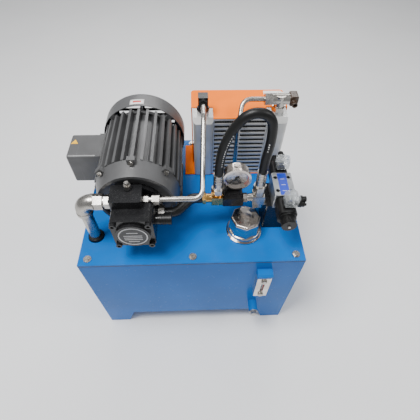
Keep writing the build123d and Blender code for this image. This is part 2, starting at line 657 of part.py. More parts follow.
def make_motor_bolts():
    feet = [hex_bolt((x, y, LID_TOP + MOTOR_FOOT_THICKNESS), UP, MOTOR_BOLT_RADIUS,
                     MOTOR_FOOT_THICKNESS + LID_THICKNESS + 8, 16, 7, 10) for x, y in motor_bolt_points()]
    lugs = []
    for angle in LUG_ANGLES:
        radius = BELL_RADIUS + LUG_BOLT_OFFSET
        x = MOTOR_X + radius * math.cos(math.radians(angle))
        z = MOTOR_Z + radius * math.sin(math.radians(angle))
        lugs.append(hexagon((x, FRAME_FRONT_Y - LUG_DEPTH, z), FRONT, 6, 10))
    return feet + lugs


# ================================================================ pump
PUMP_HEAD_X = MOTOR_X - 12.0
PUMP_HALF = PUMP_WIDTH / 2
PUMP_SCREW_OFFSET = PUMP_HALF - 9.0
PUMP_SCREW_RADIUS = 4.0
CHAMBER_DEPTH = 33.0
CHAMBER_WALL = 6.0
PUMP_NECK_RADIUS = 36.0
CHAMBER_BACK_Y = PUMP_COVER_BACK_Y + CHAMBER_DEPTH
MOTOR_SHAFT_FRONT_Y = BELL_FRONT_Y - 20.0
COUPLING_END_Y = MOTOR_SHAFT_FRONT_Y - 16.0
PUMP_SHAFT_RADIUS = 10.0
ADJUSTER_BOSS = 10.0
SPINDLE_RADIUS = 5.0
SPINDLE_DEPTH = 12.0
FACE_GAP = 0.4
SUCTION_PORT_RADIUS = 13.0
DRAIN_PORT_RADIUS = 5.0
ELBOW_LEG = 30.0
PRESSURE_PORT_RADIUS = 8.0
PORT_DEPTH = 20.0
HEAD_LEFT_X = PUMP_HEAD_X - PUMP_HEAD_WIDTH / 2
HEAD_RIGHT_X = PUMP_HEAD_X + PUMP_HEAD_WIDTH / 2
FLOW_SCREW_X = PUMP_HEAD_X + 4.0


def pump_screw_points():
    return [(MOTOR_X + sx * PUMP_SCREW_OFFSET, MOTOR_Z + sz * PUMP_SCREW_OFFSET)
            for sx in (-1, 1) for sz in (-1, 1)]


def make_pump_housing():
    flange_back = BELL_FRONT_Y + BELL_RECESS_DEPTH
    flange_front = flange_back - PUMP_FLANGE_THICKNESS
    body = block(PUMP_LEFT_X, PUMP_RIGHT_X, PUMP_COVER_BACK_Y, CHAMBER_BACK_Y + CHAMBER_WALL,
                 MOTOR_Z - PUMP_HALF, MOTOR_Z + PUMP_HALF)
    body = fillet(body.edges().filter_by(Axis.Y), 12)
    head = block(HEAD_LEFT_X, HEAD_RIGHT_X, PUMP_HEAD_FRONT_Y, PUMP_HEAD_BACK_Y, MOTOR_Z, PUMP_HEAD_TOP)
    head = fillet(head.edges().filter_by(Axis.Z), 4)
    body += head
    body += rod(motor_axis(CHAMBER_BACK_Y), REAR, flange_front - CHAMBER_BACK_Y, PUMP_NECK_RADIUS)
    body += rod(motor_axis(flange_front), REAR, PUMP_FLANGE_THICKNESS, PUMP_FLANGE_RADIUS)
    body += rod((PUMP_RIGHT_X - 4, ADJUSTER_Y, ADJUSTER_Z), RIGHT, ADJUSTER_BOSS + 4, ADJUSTER_RADIUS - 1)
    body += rod((MOTOR_X, PRESSURE_PORT_Y, PRESSURE_PORT_Z), RIGHT, PUMP_HALF + 4, 14)
    body += rod((FLOW_SCREW_X, FLOW_SCREW_Y, PUMP_HEAD_TOP - 2), UP, 5, 9)
    body -= rod(motor_axis(PUMP_COVER_BACK_Y - 1), REAR, CHAMBER_DEPTH + 1,
                RING_OUTER + RING_TRAVEL + PUMP_CHAMBER_CLEARANCE)
    body -= rod(motor_axis(CHAMBER_BACK_Y - 1), REAR, 60, PUMP_SHAFT_RADIUS + SHAFT_CLEARANCE)
    body -= rod(motor_axis(COUPLING_END_Y - 1), REAR, 60, SHAFT_RADIUS + 4)
    body -= rod((HEAD_LEFT_X - 1, PORT_Y, SUCTION_Z), RIGHT, PORT_DEPTH + 1, SUCTION_PORT_RADIUS)
    body -= rod((HEAD_RIGHT_X + 1, PORT_Y, DRAIN_LINE_Z), LEFT, PORT_DEPTH + 1, DRAIN_PORT_RADIUS)
    body -= rod((PUMP_RIGHT_X + 5, PRESSURE_PORT_Y, PRESSURE_PORT_Z), LEFT, PORT_DEPTH, PRESSURE_PORT_RADIUS)
    body -= rod((PUMP_RIGHT_X + ADJUSTER_BOSS + 1, ADJUSTER_Y, ADJUSTER_Z), LEFT, SPINDLE_DEPTH + 2,
                SPINDLE_RADIUS + SHAFT_CLEARANCE)
    body -= rod((FLOW_SCREW_X, FLOW_SCREW_Y, PUMP_HEAD_TOP + 4), DOWN, SPINDLE_DEPTH + 2,
                SPINDLE_RADIUS + SHAFT_CLEARANCE)
    for x, z in pump_screw_points():
        body -= rod((x, PUMP_COVER_BACK_Y - 1, z), REAR, 16, PUMP_SCREW_RADIUS + THREAD_CLEARANCE)
    return body


def make_pump_cover():
    depth = PUMP_COVER_BACK_Y - PUMP_COVER_FRONT_Y
    plate = block(PUMP_LEFT_X, PUMP_RIGHT_X, PUMP_COVER_FRONT_Y + 7, PUMP_COVER_BACK_Y,
                  MOTOR_Z - PUMP_HALF, MOTOR_Z + PUMP_HALF)
    plate = fillet(plate.edges().filter_by(Axis.Y), 12)
    plate += rod(motor_axis(PUMP_COVER_BACK_Y), FRONT, depth, NAMEPLATE_RADIUS + 4)
    plate -= rod(motor_axis(PUMP_COVER_BACK_Y + 1), FRONT, 8, PUMP_SHAFT_RADIUS + SHAFT_CLEARANCE)
    for x, z in pump_screw_points():
        plate -= rod((x, PUMP_COVER_FRONT_Y - 1, z), REAR, depth + 2, PUMP_SCREW_RADIUS + BOLT_CLEARANCE)
    return plate


def make_pump_screws():
    return [socket_screw((x, PUMP_COVER_FRONT_Y + 7, z), FRONT, PUMP_SCREW_RADIUS, 22, 7, 8)
            for x, z in pump_screw_points()]


def make_cam_ring():
    return ring(motor_axis(PUMP_COVER_BACK_Y + 1), REAR, CHAMBER_DEPTH - 2, RING_OUTER, RING_BORE)


def make_pump_rotor():
    """The rotor with its vanes, on a shaft that the motor shaft drives face to face."""
    vanes = 11
    width = CHAMBER_DEPTH - 4
    front = PUMP_COVER_BACK_Y + 2
    rotor = rod(motor_axis(PUMP_COVER_BACK_Y - 5), REAR, COUPLING_END_Y - PUMP_COVER_BACK_Y + 5,
                PUMP_SHAFT_RADIUS)
    rotor += rod(motor_axis(front), REAR, width, PUMP_ROTOR_RADIUS - 2)
    rotor += radial_bars(vanes, 0, 360 / vanes, PUMP_ROTOR_RADIUS - 5,
                         RING_BORE - RING_TRAVEL - FACE_GAP, 2, front, front + width)
    rotor += rod(motor_axis(COUPLING_END_Y), REAR, MOTOR_SHAFT_FRONT_Y - COUPLING_END_Y, SHAFT_RADIUS + 2)
    return rotor


def make_pressure_adjuster():
    start = PUMP_RIGHT_X + ADJUSTER_BOSS + FACE_GAP
    knob = rod((start, ADJUSTER_Y, ADJUSTER_Z), RIGHT, ADJUSTER_LENGTH, ADJUSTER_RADIUS)
    knob += rod((start, ADJUSTER_Y, ADJUSTER_Z), LEFT, SPINDLE_DEPTH, SPINDLE_RADIUS)
    grooves = 3
    for index in range(grooves):
        x = start + 4 + index * 6
        knob -= ring((x, ADJUSTER_Y, ADJUSTER_Z), RIGHT, 2, ADJUSTER_RADIUS + 1, ADJUSTER_RADIUS - 1.5)
    socket_depth = 6.0
    return knob - hexagon((start + ADJUSTER_LENGTH - socket_depth, ADJUSTER_Y, ADJUSTER_Z), RIGHT,
                          socket_depth + 1, 8)


def make_flow_screw():
    seat = (FLOW_SCREW_X, FLOW_SCREW_Y, PUMP_HEAD_TOP + 3 + FACE_GAP)
    screw = hexagon(seat, UP, 8, 14)
    screw += rod(moved(seat, dz=8), UP, 8, 4.5)
    screw += rod(seat, DOWN, SPINDLE_DEPTH, SPINDLE_RADIUS)
    return screw


# ================================================================ suction line
def make_suction_pipe():
    top = SUCTION_Z - ELBOW_LEG
    pipe = ring((SUCTION_X, PORT_Y, SUCTION_PIPE_BOTTOM), UP, top - SUCTION_PIPE_BOTTOM,
                SUCTION_PIPE_RADIUS, SUCTION_PIPE_RADIUS - SUCTION_PIPE_WALL)
    return pipe


def make_suction_strainer():
    """A pleated strainer can on the foot of the suction pipe."""
    bottom = SUCTION_PIPE_BOTTOM - STRAINER_HEIGHT
    can = rod((SUCTION_X, PORT_Y, bottom), UP, STRAINER_HEIGHT, STRAINER_RADIUS)
    can -= rod((SUCTION_X, PORT_Y, bottom + 5), UP, STRAINER_HEIGHT, STRAINER_RADIUS - 5)
    collar = ring((SUCTION_X, PORT_Y, SUCTION_PIPE_BOTTOM - 5), UP, 5, STRAINER_RADIUS,
                  SUCTION_PIPE_RADIUS - SUCTION_PIPE_WALL)
    sleeve = ring((SUCTION_X, PORT_Y, SUCTION_PIPE_BOTTOM), UP, 14, SUCTION_PIPE_RADIUS + 4,
                  SUCTION_PIPE_RADIUS)
    return can + collar + sleeve


def make_suction_fittings():
    """The elbow over the pipe, and the union with its two hexagons that joins it to the pump."""
    outer = SUCTION_PIPE_RADIUS + 4
    bore = SUCTION_PIPE_RADIUS - SUCTION_PIPE_WALL
    leg = ELBOW_LEG
    corner = (SUCTION_X, PORT_Y, SUCTION_Z)
    points = [moved(corner, dz=-leg), corner, moved(corner, dx=leg)]
    elbow = swept_tube(points, [24.0], outer, bore)
    elbow += ring(moved(corner, dz=-leg - 8), UP, 8, outer + 1, SUCTION_PIPE_RADIUS)
    elbow += ring(moved(corner, dx=leg - 8), RIGHT, 8, outer + 1, bore)
    union_start = SUCTION_X + leg
    union_end = HEAD_LEFT_X
    middle = (union_start + union_end) / 2
    union = hexagon((union_start, PORT_Y, SUCTION_Z), RIGHT, middle - union_start, 32)
    union += hexagon((middle + 4, PORT_Y, SUCTION_Z), RIGHT, union_end - middle - 4, 28)
    union += rod((middle, PORT_Y, SUCTION_Z), RIGHT, 4, 13)
    union += rod((union_end, PORT_Y, SUCTION_Z), RIGHT, PORT_DEPTH - 4, SUCTION_PORT_RADIUS)
    union -= rod((union_start - 1, PORT_Y, SUCTION_Z), RIGHT, 90, SUCTION_PORT_RADIUS - 4)
    return elbow, union


# ================================================================ filler
CAP_CAVITY_TOP = CAP_BOTTOM + 32.0
CAP_CAVITY_RADIUS = FILLER_NECK_RADIUS + CAP_NECK_CLEARANCE
CAP_TOP = LID_TOP + CAP_TOTAL_HEIGHT


def filler_axis(z):
    return (FILLER_X, FILLER_Y, z)


def make_filler_flange():
    flange = rod(filler_axis(LID_TOP), UP, FILLER_FLANGE_THICKNESS, FILLER_FLANGE_RADIUS)
    flange += rod(filler_axis(LID_TOP - LID_THICKNESS), UP,
                  LID_THICKNESS + FILLER_FLANGE_THICKNESS + FILLER_NECK_HEIGHT, FILLER_NECK_RADIUS)
    flange -= rod(filler_axis(LID_TOP - LID_THICKNESS - 1), UP, 60, FILLER_NECK_RADIUS - FILLER_NECK_WALL)
    return flange


def make_filler_basket():
    outer = FILLER_NECK_RADIUS - FILLER_NECK_WALL
    top = CAP_BOTTOM + 2
    bottom = LID_TOP - BASKET_DEPTH
    basket = rod(filler_axis(bottom), UP, top - bottom, outer)
    basket -= rod(filler_axis(bottom + 1.5), UP, top - bottom, outer - 1.5)
    rows = 5
    for row in range(rows):
        z = bottom + 12 + row * 14
        basket -= block(FILLER_X - 4, FILLER_X + 4, FILLER_Y - outer - 1, FILLER_Y + outer + 1, z, z + 8)
        basket -= block(FILLER_X - outer - 1, FILLER_X + outer + 1, FILLER_Y - 4, FILLER_Y + 4, z, z + 8)
    return basket


def make_filler_cap():
    """A flanged cap with eight flat grips that narrow towards a dished top."""
    skirt = rod(filler_axis(CAP_BOTTOM + FACE_GAP), UP, CAP_SKIRT_HEIGHT, CAP_SKIRT_RADIUS)
    skirt = fillet(skirt.edges().sort_by(Axis.Z)[-1], 4)
    base = Plane(origin=filler_axis(CAP_BOTTOM + FACE_GAP), z_dir=UP)
    grips = extrude(base * RegularPolygon(CAP_GRIP_RADIUS, CAP_GRIPS, major_radius=False),
                    amount=CAP_TOP - CAP_BOTTOM - FACE_GAP, taper=CAP_GRIP_TAPER_DEG)
    grips = fillet(grips.edges().group_by(Axis.Z)[-1], CAP_CROWN_ROUND)
    dish = cone(filler_axis(CAP_TOP - CAP_DISH_DEPTH), UP, CAP_DISH_DEPTH, CAP_DISH_RADIUS - 3, CAP_DISH_RADIUS)
    cavity = rod(filler_axis(CAP_BOTTOM), UP, CAP_CAVITY_TOP - CAP_BOTTOM, CAP_CAVITY_RADIUS)
    return skirt + grips - dish - cavity


def make_cap_seal():
    """The rubber ring between the neck and the cap; it lifts with the cap and does not turn."""
    z = CAP_BOTTOM + FILLER_NECK_HEIGHT + FACE_GAP
    return ring(filler_axis(z), UP, SEAL_THICKNESS, FILLER_NECK_RADIUS, FILLER_NECK_RADIUS - 6)


def make_breather_element():
    z = CAP_BOTTOM + FILLER_NECK_HEIGHT + FACE_GAP + SEAL_THICKNESS
    return ring(filler_axis(z), UP, CAP_CAVITY_TOP - z - FACE_GAP, FILLER_NECK_RADIUS - 2, 9)


# ================================================================ cooler
HEADER_BACK_Y = COOLER_FRONT_Y + HEADER_DEPTH
FAN_OPENING_RADIUS = FAN_RADIUS + FAN_TIP_CLEARANCE
SHROUD_LEFT_X = COOLER_LEFT_X - SHROUD_OVERHANG
SHROUD_RIGHT_X = COOLER_RIGHT_X + SHROUD_OVERHANG
SHROUD_TOP = COOLER_TOP + SHROUD_WALL
FAN_MOTOR_RADIUS = 30.0
FAN_MOTOR_LENGTH = 24.0
GUARD_WIRE = 1.6
BOSS_RADIUS = 15.0
BOSS_HEIGHT = 10.0
BOSS_TOP = COOLER_TOP + BOSS_HEIGHT
HEADER_BORE = 8.0


def make_cooler_core():
    """Flat bars one above another between two side plates, with folded fins behind their front edges."""
    bottom = COOLER_BOTTOM
    pitch = (COOLER_TOP - bottom - BAR_THICKNESS) / (BAR_COUNT - 1)
    core = block(CORE_LEFT_X, CORE_RIGHT_X, COOLER_FRONT_Y + 8, COOLER_FRONT_Y + 8 + 24, bottom, COOLER_TOP)
    for index in range(BAR_COUNT):
        z = bottom + index * pitch
        core += block(CORE_LEFT_X, CORE_RIGHT_X, COOLER_FRONT_Y, COOLER_FRONT_Y + CORE_DEPTH,
                      z, z + BAR_THICKNESS)
    plate = 3.0
    for x in (CORE_LEFT_X, CORE_RIGHT_X - plate):
        core += block(x, x + plate, COOLER_FRONT_Y - 1, COOLER_FRONT_Y + CORE_DEPTH, bottom, COOLER_TOP)
    return core


def make_header(left):
    """A tank of the cooler, with a rounded front, a sloped top front edge and a port boss."""
    right = left + HEADER_WIDTH
    header = block(left, right, COOLER_FRONT_Y - 5, HEADER_BACK_Y, COOLER_BOTTOM, COOLER_TOP)
    header = chamfer(header.edges().filter_by(Axis.X).sort_by(Axis.Z)[-2:].sort_by(Axis.Y)[0], 12)
    header = fillet(header.edges().filter_by(Axis.Z).sort_by(Axis.Y)[0:2], 8)
    x = left + HEADER_WIDTH / 2
    header += rod((x, HEADER_PORT_Y, COOLER_TOP - 8), UP, BOSS_HEIGHT + 8, BOSS_RADIUS)
    wall = 4.0
    header -= block(left + wall, right - wall, COOLER_FRONT_Y - 5 + wall, HEADER_BACK_Y - wall,
                    COOLER_BOTTOM + wall, COOLER_TOP - 14)
    header -= rod((x, HEADER_PORT_Y, COOLER_TOP - 20), UP, 60, HEADER_BORE)
    return header


def make_fan_shroud():
    """Folded orange sheet: a base, a hood round the back of the core and a round fan opening."""
    wall = SHROUD_WALL
    shroud = block(SHROUD_LEFT_X, SHROUD_RIGHT_X, HEADER_BACK_Y, COOLER_REAR_Y, COOLER_BOTTOM, SHROUD_TOP)
    shroud = fillet(shroud.edges().filter_by(Axis.Z).sort_by(Axis.Y)[-2:], 10)
    shroud -= block(SHROUD_LEFT_X + wall, SHROUD_RIGHT_X - wall, HEADER_BACK_Y - 1, COOLER_REAR_Y - wall,
                    COOLER_BOTTOM - 1, SHROUD_TOP - wall)
    shroud += block(CORE_LEFT_X, CORE_RIGHT_X, COOLER_FRONT_Y, HEADER_BACK_Y + 1, COOLER_TOP, SHROUD_TOP)
    shroud -= rod((COOLER_X, COOLER_REAR_Y - wall - 1, FAN_Z), REAR, wall + 2, FAN_OPENING_RADIUS)
    shroud += block(BASE_LEFT_X, SHROUD_RIGHT_X, COOLER_FRONT_Y - 1, COOLER_REAR_Y, LID_TOP, COOLER_BOTTOM)
    return shroud


def make_fan_guard():
    """Wire rings on four spokes behind the fan opening."""
    y = COOLER_REAR_Y
    centre = (COOLER_X, y, FAN_Z)
    guard = rod(centre, REAR, 2 * GUARD_WIRE, FAN_MOTOR_RADIUS + 4)
    rings = 4
    step = (FAN_OPENING_RADIUS + 4 - FAN_MOTOR_RADIUS - 4) / rings
    for index in range(1, rings + 1):
        radius = FAN_MOTOR_RADIUS + 4 + index * step
        guard += ring(centre, REAR, 2 * GUARD_WIRE, radius + GUARD_WIRE, radius - GUARD_WIRE)
    for index in range(4):
        spoke = block(FAN_MOTOR_RADIUS, FAN_OPENING_RADIUS + 5, 0, 2 * GUARD_WIRE, -GUARD_WIRE, GUARD_WIRE)
        guard += Pos(*centre) * (Rot(0, -(45 + 90 * index), 0) * spoke)
    return guard


def make_cooler_fan_motor():
    motor = rod((COOLER_X, COOLER_REAR_Y, FAN_Z), FRONT, FAN_MOTOR_LENGTH, FAN_MOTOR_RADIUS)
    return motor - rod((COOLER_X, COOLER_REAR_Y - FAN_MOTOR_LENGTH - 1, FAN_Z), REAR, 15,
                       FAN_SHAFT_RADIUS + SHAFT_CLEARANCE)


def make_cooler_fan():
    hub_back = COOLER_REAR_Y - FAN_MOTOR_LENGTH - 2
    hub_length = 20.0
    centre = (COOLER_X, hub_back - hub_length, FAN_Z)
    fan = rod(centre, REAR, hub_length, FAN_HUB_RADIUS)
    fan += rod((COOLER_X, hub_back, FAN_Z), REAR, 13, FAN_SHAFT_RADIUS)
    for index in range(FAN_BLADES):
        blade = Rot(28, 0, 0) * block(FAN_HUB_RADIUS - 3, FAN_RADIUS - 2, -1.2, 1.2, -17, 17)
        fan += Pos(COOLER_X, hub_back - hub_length / 2, FAN_Z) * (Rot(0, -index * 360 / FAN_BLADES, 0) * blade)
    return fan


# ================================================================ cooler fittings and steel pipes
NUT_FLATS = 22.0
FITTING_Z = COOLER_TOP + 40.0
RETURN_NUT_X = RIGHT_HEADER_X - 38.0
DRAIN_NUT_Y = HEADER_PORT_Y - 22.0


def make_cooler_fittings():
    """A black elbow with its nut on the left header and a zinc tee with its nut on the right one."""
    left = (LEFT_HEADER_X, HEADER_PORT_Y, BOSS_TOP)
    elbow = hexagon(left, UP, 10, 27)
    elbow += block(LEFT_HEADER_X - 12, LEFT_HEADER_X + 12, HEADER_PORT_Y - 12, HEADER_PORT_Y + 12,
                   BOSS_TOP + 10, FITTING_Z + 12)
    elbow += hexagon((LEFT_HEADER_X, HEADER_PORT_Y - 12, FITTING_Z), FRONT, 10, NUT_FLATS)
    elbow -= rod((LEFT_HEADER_X, HEADER_PORT_Y + 2, FITTING_Z), FRONT, 30, STEEL_PIPE_RADIUS)
    right = (RIGHT_HEADER_X, HEADER_PORT_Y, BOSS_TOP)
    tee = hexagon(right, UP, 12, 30)
    tee += rod(moved(right, dz=10), UP, FITTING_Z - BOSS_TOP + 2, 13)
    tee += rod((RIGHT_HEADER_X - 20, HEADER_PORT_Y, FITTING_Z), RIGHT, 42, 13)
    tee += hexagon((RETURN_NUT_X, HEADER_PORT_Y, FITTING_Z), RIGHT, 18, 26)
    tee -= rod((RETURN_NUT_X - 1, HEADER_PORT_Y, FITTING_Z), RIGHT, 24, STEEL_PIPE_RADIUS)
    return elbow, tee


def make_thermostat():
    """The temperature switch's brown plug, turned down to its cable gland."""
    start = RIGHT_HEADER_X + 22
    plug = block(start, start + 20, HEADER_PORT_Y - 13, HEADER_PORT_Y + 13, FITTING_Z - 12, FITTING_Z + 14)
    plug = fillet(plug.edges().filter_by(Axis.Y), 4)
    plug += rod((start + 10, HEADER_PORT_Y - 10, FITTING_Z - 2), FRONT, 8, 8)
    gland = ring((start + 10, HEADER_PORT_Y - 18, FITTING_Z - 2), FRONT, 7, 7, 4)
    return plug, gland


def make_drain_pipe():
    """The pump's drain line: along the lid, up and back to the left header."""
    start = (HEAD_RIGHT_X + 22, PORT_Y, DRAIN_LINE_Z)
    corner = (LEFT_HEADER_X - 7, PORT_Y, DRAIN_LINE_Z)
    upper = (LEFT_HEADER_X, DRAIN_NUT_Y - 44, FITTING_Z)
    end = (LEFT_HEADER_X, HEADER_PORT_Y + 2, FITTING_Z)
    return swept_tube([start, corner, upper, end], [22.0, 40.0], STEEL_PIPE_RADIUS,
                      STEEL_PIPE_RADIUS - STEEL_PIPE_WALL)


def make_return_pipe():
    """The cooler's return line: over the core, down in front of it and through the lid into the oil."""
    start = (RETURN_NUT_X + 10, HEADER_PORT_Y, FITTING_Z)
    over = (RETURN_PIPE_X + 12, HEADER_PORT_Y, FITTING_Z)
    front = (RETURN_PIPE_X, RETURN_PIPE_Y, FITTING_Z - 42)
    end = (RETURN_PIPE_X, RETURN_PIPE_Y, TANK_TUBE_BOTTOM)
    return swept_tube([start, over, front, end], [24.0, 30.0], STEEL_PIPE_RADIUS,
                      STEEL_PIPE_RADIUS - STEEL_PIPE_WALL)


# ================================================================ pressure line
MANIFOLD_INLET_DROP = 21.0


def make_line_adapters():
    """The adapters at the pump, between the gauge block and the tee, and the crimped hose ferrules."""
    pump_port = (PUMP_RIGHT_X + 4, PRESSURE_PORT_Y, PRESSURE_PORT_Z)
    drain_port = (HEAD_RIGHT_X, PORT_Y, DRAIN_LINE_Z)
    at_pump = hexagon(pump_port, RIGHT, 14, 30) - rod(moved(pump_port, dx=4), RIGHT, 20, PRESSURE_PIPE_RADIUS)
    at_pump -= rod(pump_port, RIGHT, 20, PRESSURE_PORT_RADIUS)
    at_drain = hexagon(drain_port, RIGHT, 12, 20)
    at_drain += rod(moved(drain_port, dx=12), RIGHT, 8, 8)
    at_drain += hexagon(moved(drain_port, dx=20), RIGHT, 16, NUT_FLATS)
    at_drain += rod(drain_port, LEFT, PORT_DEPTH - 6, DRAIN_PORT_RADIUS)
    at_drain -= rod(moved(drain_port, dx=22), RIGHT, 40, STEEL_PIPE_RADIUS)
    at_drain -= rod(moved(drain_port, dx=-30), RIGHT, 60, DRAIN_PORT_RADIUS - 2)
    block_end = (GAUGE_BLOCK_RIGHT_X, LINE_Y, LINE_Z)
    tee_face = RIGHT_TEE_X - 14
    adapter = hexagon(block_end, RIGHT, 10, 20)
    adapter += rod(moved(block_end, dx=10), RIGHT, 2, 7)
    adapter += rod(moved(block_end, dx=12), RIGHT, tee_face - GAUGE_BLOCK_RIGHT_X - 12, 9.5)
    return at_pump, at_drain, adapter


def make_ferrules():
    pieces = []
    for x, bottom, top in ((LEFT_FERRULE_X, LINE_Z + 24, LINE_Z + 24 + FERRULE_LENGTH),
                           (RIGHT_TEE_X, LINE_Z + 30, LINE_Z + 30 + FERRULE_LENGTH)):
        base = (x, LINE_Y, bottom)
        piece = rod(base, UP, top - bottom, FERRULE_RADIUS)
        piece -= rod((x, LINE_Y, top - 30), UP, 31, ARCH_HOSE_RADIUS)
        piece += hexagon(base, UP, 14, 27)
        crimps = 3
        for index in range(crimps):
            z = top - 8 - index * 8
            piece -= ring((x, LINE_Y, z), UP, 2, FERRULE_RADIUS + 1, FERRULE_RADIUS - 0.8)
        pieces.append(piece)
    return pieces


def make_brass_tee():
    middle = (TEE_LEFT_X + TEE_RIGHT_X) / 2
    tee = rod((TEE_LEFT_X, LINE_Y, LINE_Z), RIGHT, LEFT_FERRULE_X - 14 - TEE_LEFT_X, 11)
    tee += hexagon((TEE_LEFT_X, LINE_Y, LINE_Z), RIGHT, 8, 26)
    tee += block(LEFT_FERRULE_X - 15, GAUGE_BLOCK_LEFT_X, LINE_Y - 13, LINE_Y + 13, LINE_Z - 13, LINE_Z + 13)
    tee += rod((LEFT_FERRULE_X, LINE_Y, LINE_Z + 12), UP, 12, 10)
    tee -= rod((TEE_LEFT_X - 1, LINE_Y, LINE_Z), RIGHT, middle + 8 - TEE_LEFT_X, 6)
    return tee


def make_gauge_block():
    rear = GAUGE_FACE_Y + GAUGE_CASE_DEPTH - 2
    body = block(GAUGE_BLOCK_LEFT_X, GAUGE_BLOCK_RIGHT_X, LINE_Y - 14, rear, LINE_Z - 16, LINE_Z + 9)
    body = chamfer(body.edges().filter_by(Axis.Y), 3)
    return body - rod((GAUGE_X, GAUGE_FACE_Y + GAUGE_CASE_DEPTH / 2, LINE_Z + 10), DOWN, 12, 5)


def make_right_tee():
    """The tee under the arch hose's right end; its lower leg turns into the manifold."""
    centre = (RIGHT_TEE_X, LINE_Y, LINE_Z)
    tee = block(RIGHT_TEE_X - 14, RIGHT_TEE_X + 14, LINE_Y - 13, LINE_Y + 13, LINE_Z - 14, LINE_Z + 14)
    tee += hexagon(moved(centre, dz=14), UP, 16, 24)
    low_z = LINE_Z - MANIFOLD_INLET_DROP
    tee += block(RIGHT_TEE_X - 11, RIGHT_TEE_X + 11, LINE_Y - 11, LINE_Y + 11, low_z - 8, LINE_Z - 14)
    tee += rod((RIGHT_TEE_X + 9, LINE_Y, low_z), RIGHT, MANIFOLD_LEFT_X - RIGHT_TEE_X - 9, 8)
    return tee


def make_pressure_pipe():
    """The bent steel pressure pipe, from the pump past the motor's end bell to the brass tee."""
    points = [
        (PUMP_RIGHT_X + 8, PRESSURE_PORT_Y, PRESSURE_PORT_Z),
        (MOTOR_X + BELL_FACE_RADIUS + 2, PRESSURE_PORT_Y, PRESSURE_PORT_Z),
        (MOTOR_X + BELL_FACE_RADIUS + 36, LINE_Y, LINE_Z),
        (TEE_LEFT_X, LINE_Y, LINE_Z),
    ]
    return swept_tube(points, [28.0, 28.0], PRESSURE_PIPE_RADIUS, PRESSURE_PIPE_RADIUS - PRESSURE_PIPE_WALL)


ARCH_HOSE_POINTS = [
    (LEFT_FERRULE_X, LINE_Y, 528),
    (LEFT_FERRULE_X, LINE_Y, 578),
    (66, LINE_Y, 622),
    (76, LINE_Y, 660),
    (90, LINE_Y, 689),
    (106, LINE_Y, 710),
    (125, LINE_Y, 718),
    (145, LINE_Y, 714),
    (158, LINE_Y, 699),
    (162, LINE_Y, 676),
    (163, LINE_Y, 640),
    (RIGHT_TEE_X, LINE_Y, 592),
    (RIGHT_TEE_X, LINE_Y, 534),
]


GAUGE_STEM_Y = GAUGE_FACE_Y + GAUGE_CASE_DEPTH / 2
GAUGE_RECESS = 7.0
DIAL_THICKNESS = 1.0
NEEDLE_REST_DEG = 225.0
NEEDLE_PIN_RADIUS = 1.5


def gauge_axis(y):
    return (GAUGE_X, y, GAUGE_Z)


def make_gauge_case():
    """A round case with a bezel, a recess for its dial, a filling plug on top and a stem below."""
    case = rod(gauge_axis(GAUGE_FACE_Y), REAR, GAUGE_CASE_DEPTH, GAUGE_BEZEL_RADIUS - 3)
    case = fillet(case.edges().sort_by(Axis.Y)[-1], 4)
    case += rod(gauge_axis(GAUGE_FACE_Y), REAR, 8, GAUGE_BEZEL_RADIUS)
    case -= rod(gauge_axis(GAUGE_FACE_Y - 1), REAR, GAUGE_RECESS + 1, GAUGE_BEZEL_RADIUS - 5)
    stem_bottom = LINE_Z + 9
    stem = hexagon((GAUGE_X, GAUGE_STEM_Y, stem_bottom), UP, GAUGE_Z - stem_bottom - 22, 14)
    stem += rod((GAUGE_X, GAUGE_STEM_Y, stem_bottom), DOWN, 10, 5)
    inside = rod(gauge_axis(GAUGE_FACE_Y), REAR, GAUGE_CASE_DEPTH, GAUGE_BEZEL_RADIUS - 4)
    case += stem - inside
    case += rod((GAUGE_X, GAUGE_STEM_Y, GAUGE_Z + GAUGE_BEZEL_RADIUS - 6), UP, 7, 7)
    recess_back = GAUGE_FACE_Y + GAUGE_RECESS
    return case - rod(gauge_axis(recess_back - 1), REAR, 6, NEEDLE_PIN_RADIUS + SHAFT_CLEARANCE)


def make_gauge_dial():
    back = GAUGE_FACE_Y + GAUGE_RECESS
    dial = rod(gauge_axis(back), FRONT, DIAL_THICKNESS, GAUGE_BEZEL_RADIUS - 5)
    return dial - rod(gauge_axis(back + 1), FRONT, 4, NEEDLE_PIN_RADIUS + SHAFT_CLEARANCE)


def make_gauge_needle():
    face = GAUGE_FACE_Y + GAUGE_RECESS - DIAL_THICKNESS - 1.5
    needle = rod(gauge_axis(face - 1.5), REAR, 1.5 + 1.5 + DIAL_THICKNESS + 3, NEEDLE_PIN_RADIUS)
    needle += rod(gauge_axis(face - 1.5), REAR, 1.5, 4)
    tip = Polyline((-8, -2), (0, -1.6), (23, -0.5), (23, 0.5), (0, 1.6), (-8, 2), close=True)
    plane = Plane(origin=(0, 0, 0), x_dir=RIGHT, z_dir=FRONT)
    pointer = extrude(plane * make_face(tip), amount=1)
    return needle + Pos(GAUGE_X, face, GAUGE_Z) * (Rot(0, -NEEDLE_REST_DEG, 0) * pointer)


# ================================================================ valve and manifold
VALVE_TOP = VALVE_Z + VALVE_HEIGHT
VALVE_FRONT_Y = VALVE_Y - VALVE_LENGTH / 2
VALVE_REAR_Y = VALVE_Y + VALVE_LENGTH / 2
COIL_LENGTH_BODY = COIL_LENGTH - 5.0
PLUG_SIZE = 28.0
PLUG_BOTTOM = SPOOL_Z + COIL_RADIUS + 4.0
PIN_PROUD = 3.5


def valve_hole_points():
    return [(VALVE_X + sx * VALVE_HOLE_X / 2, VALVE_Y + sy * VALVE_HOLE_Y / 2)
            for sx in (-1, 1) for sy in (-1, 1)]


def spool_axis(y):
    return (VALVE_X, y, SPOOL_Z)


def work_port_places():
    return [VALVE_Y - WORK_PORT_SPACING / 2, VALVE_Y + WORK_PORT_SPACING / 2]


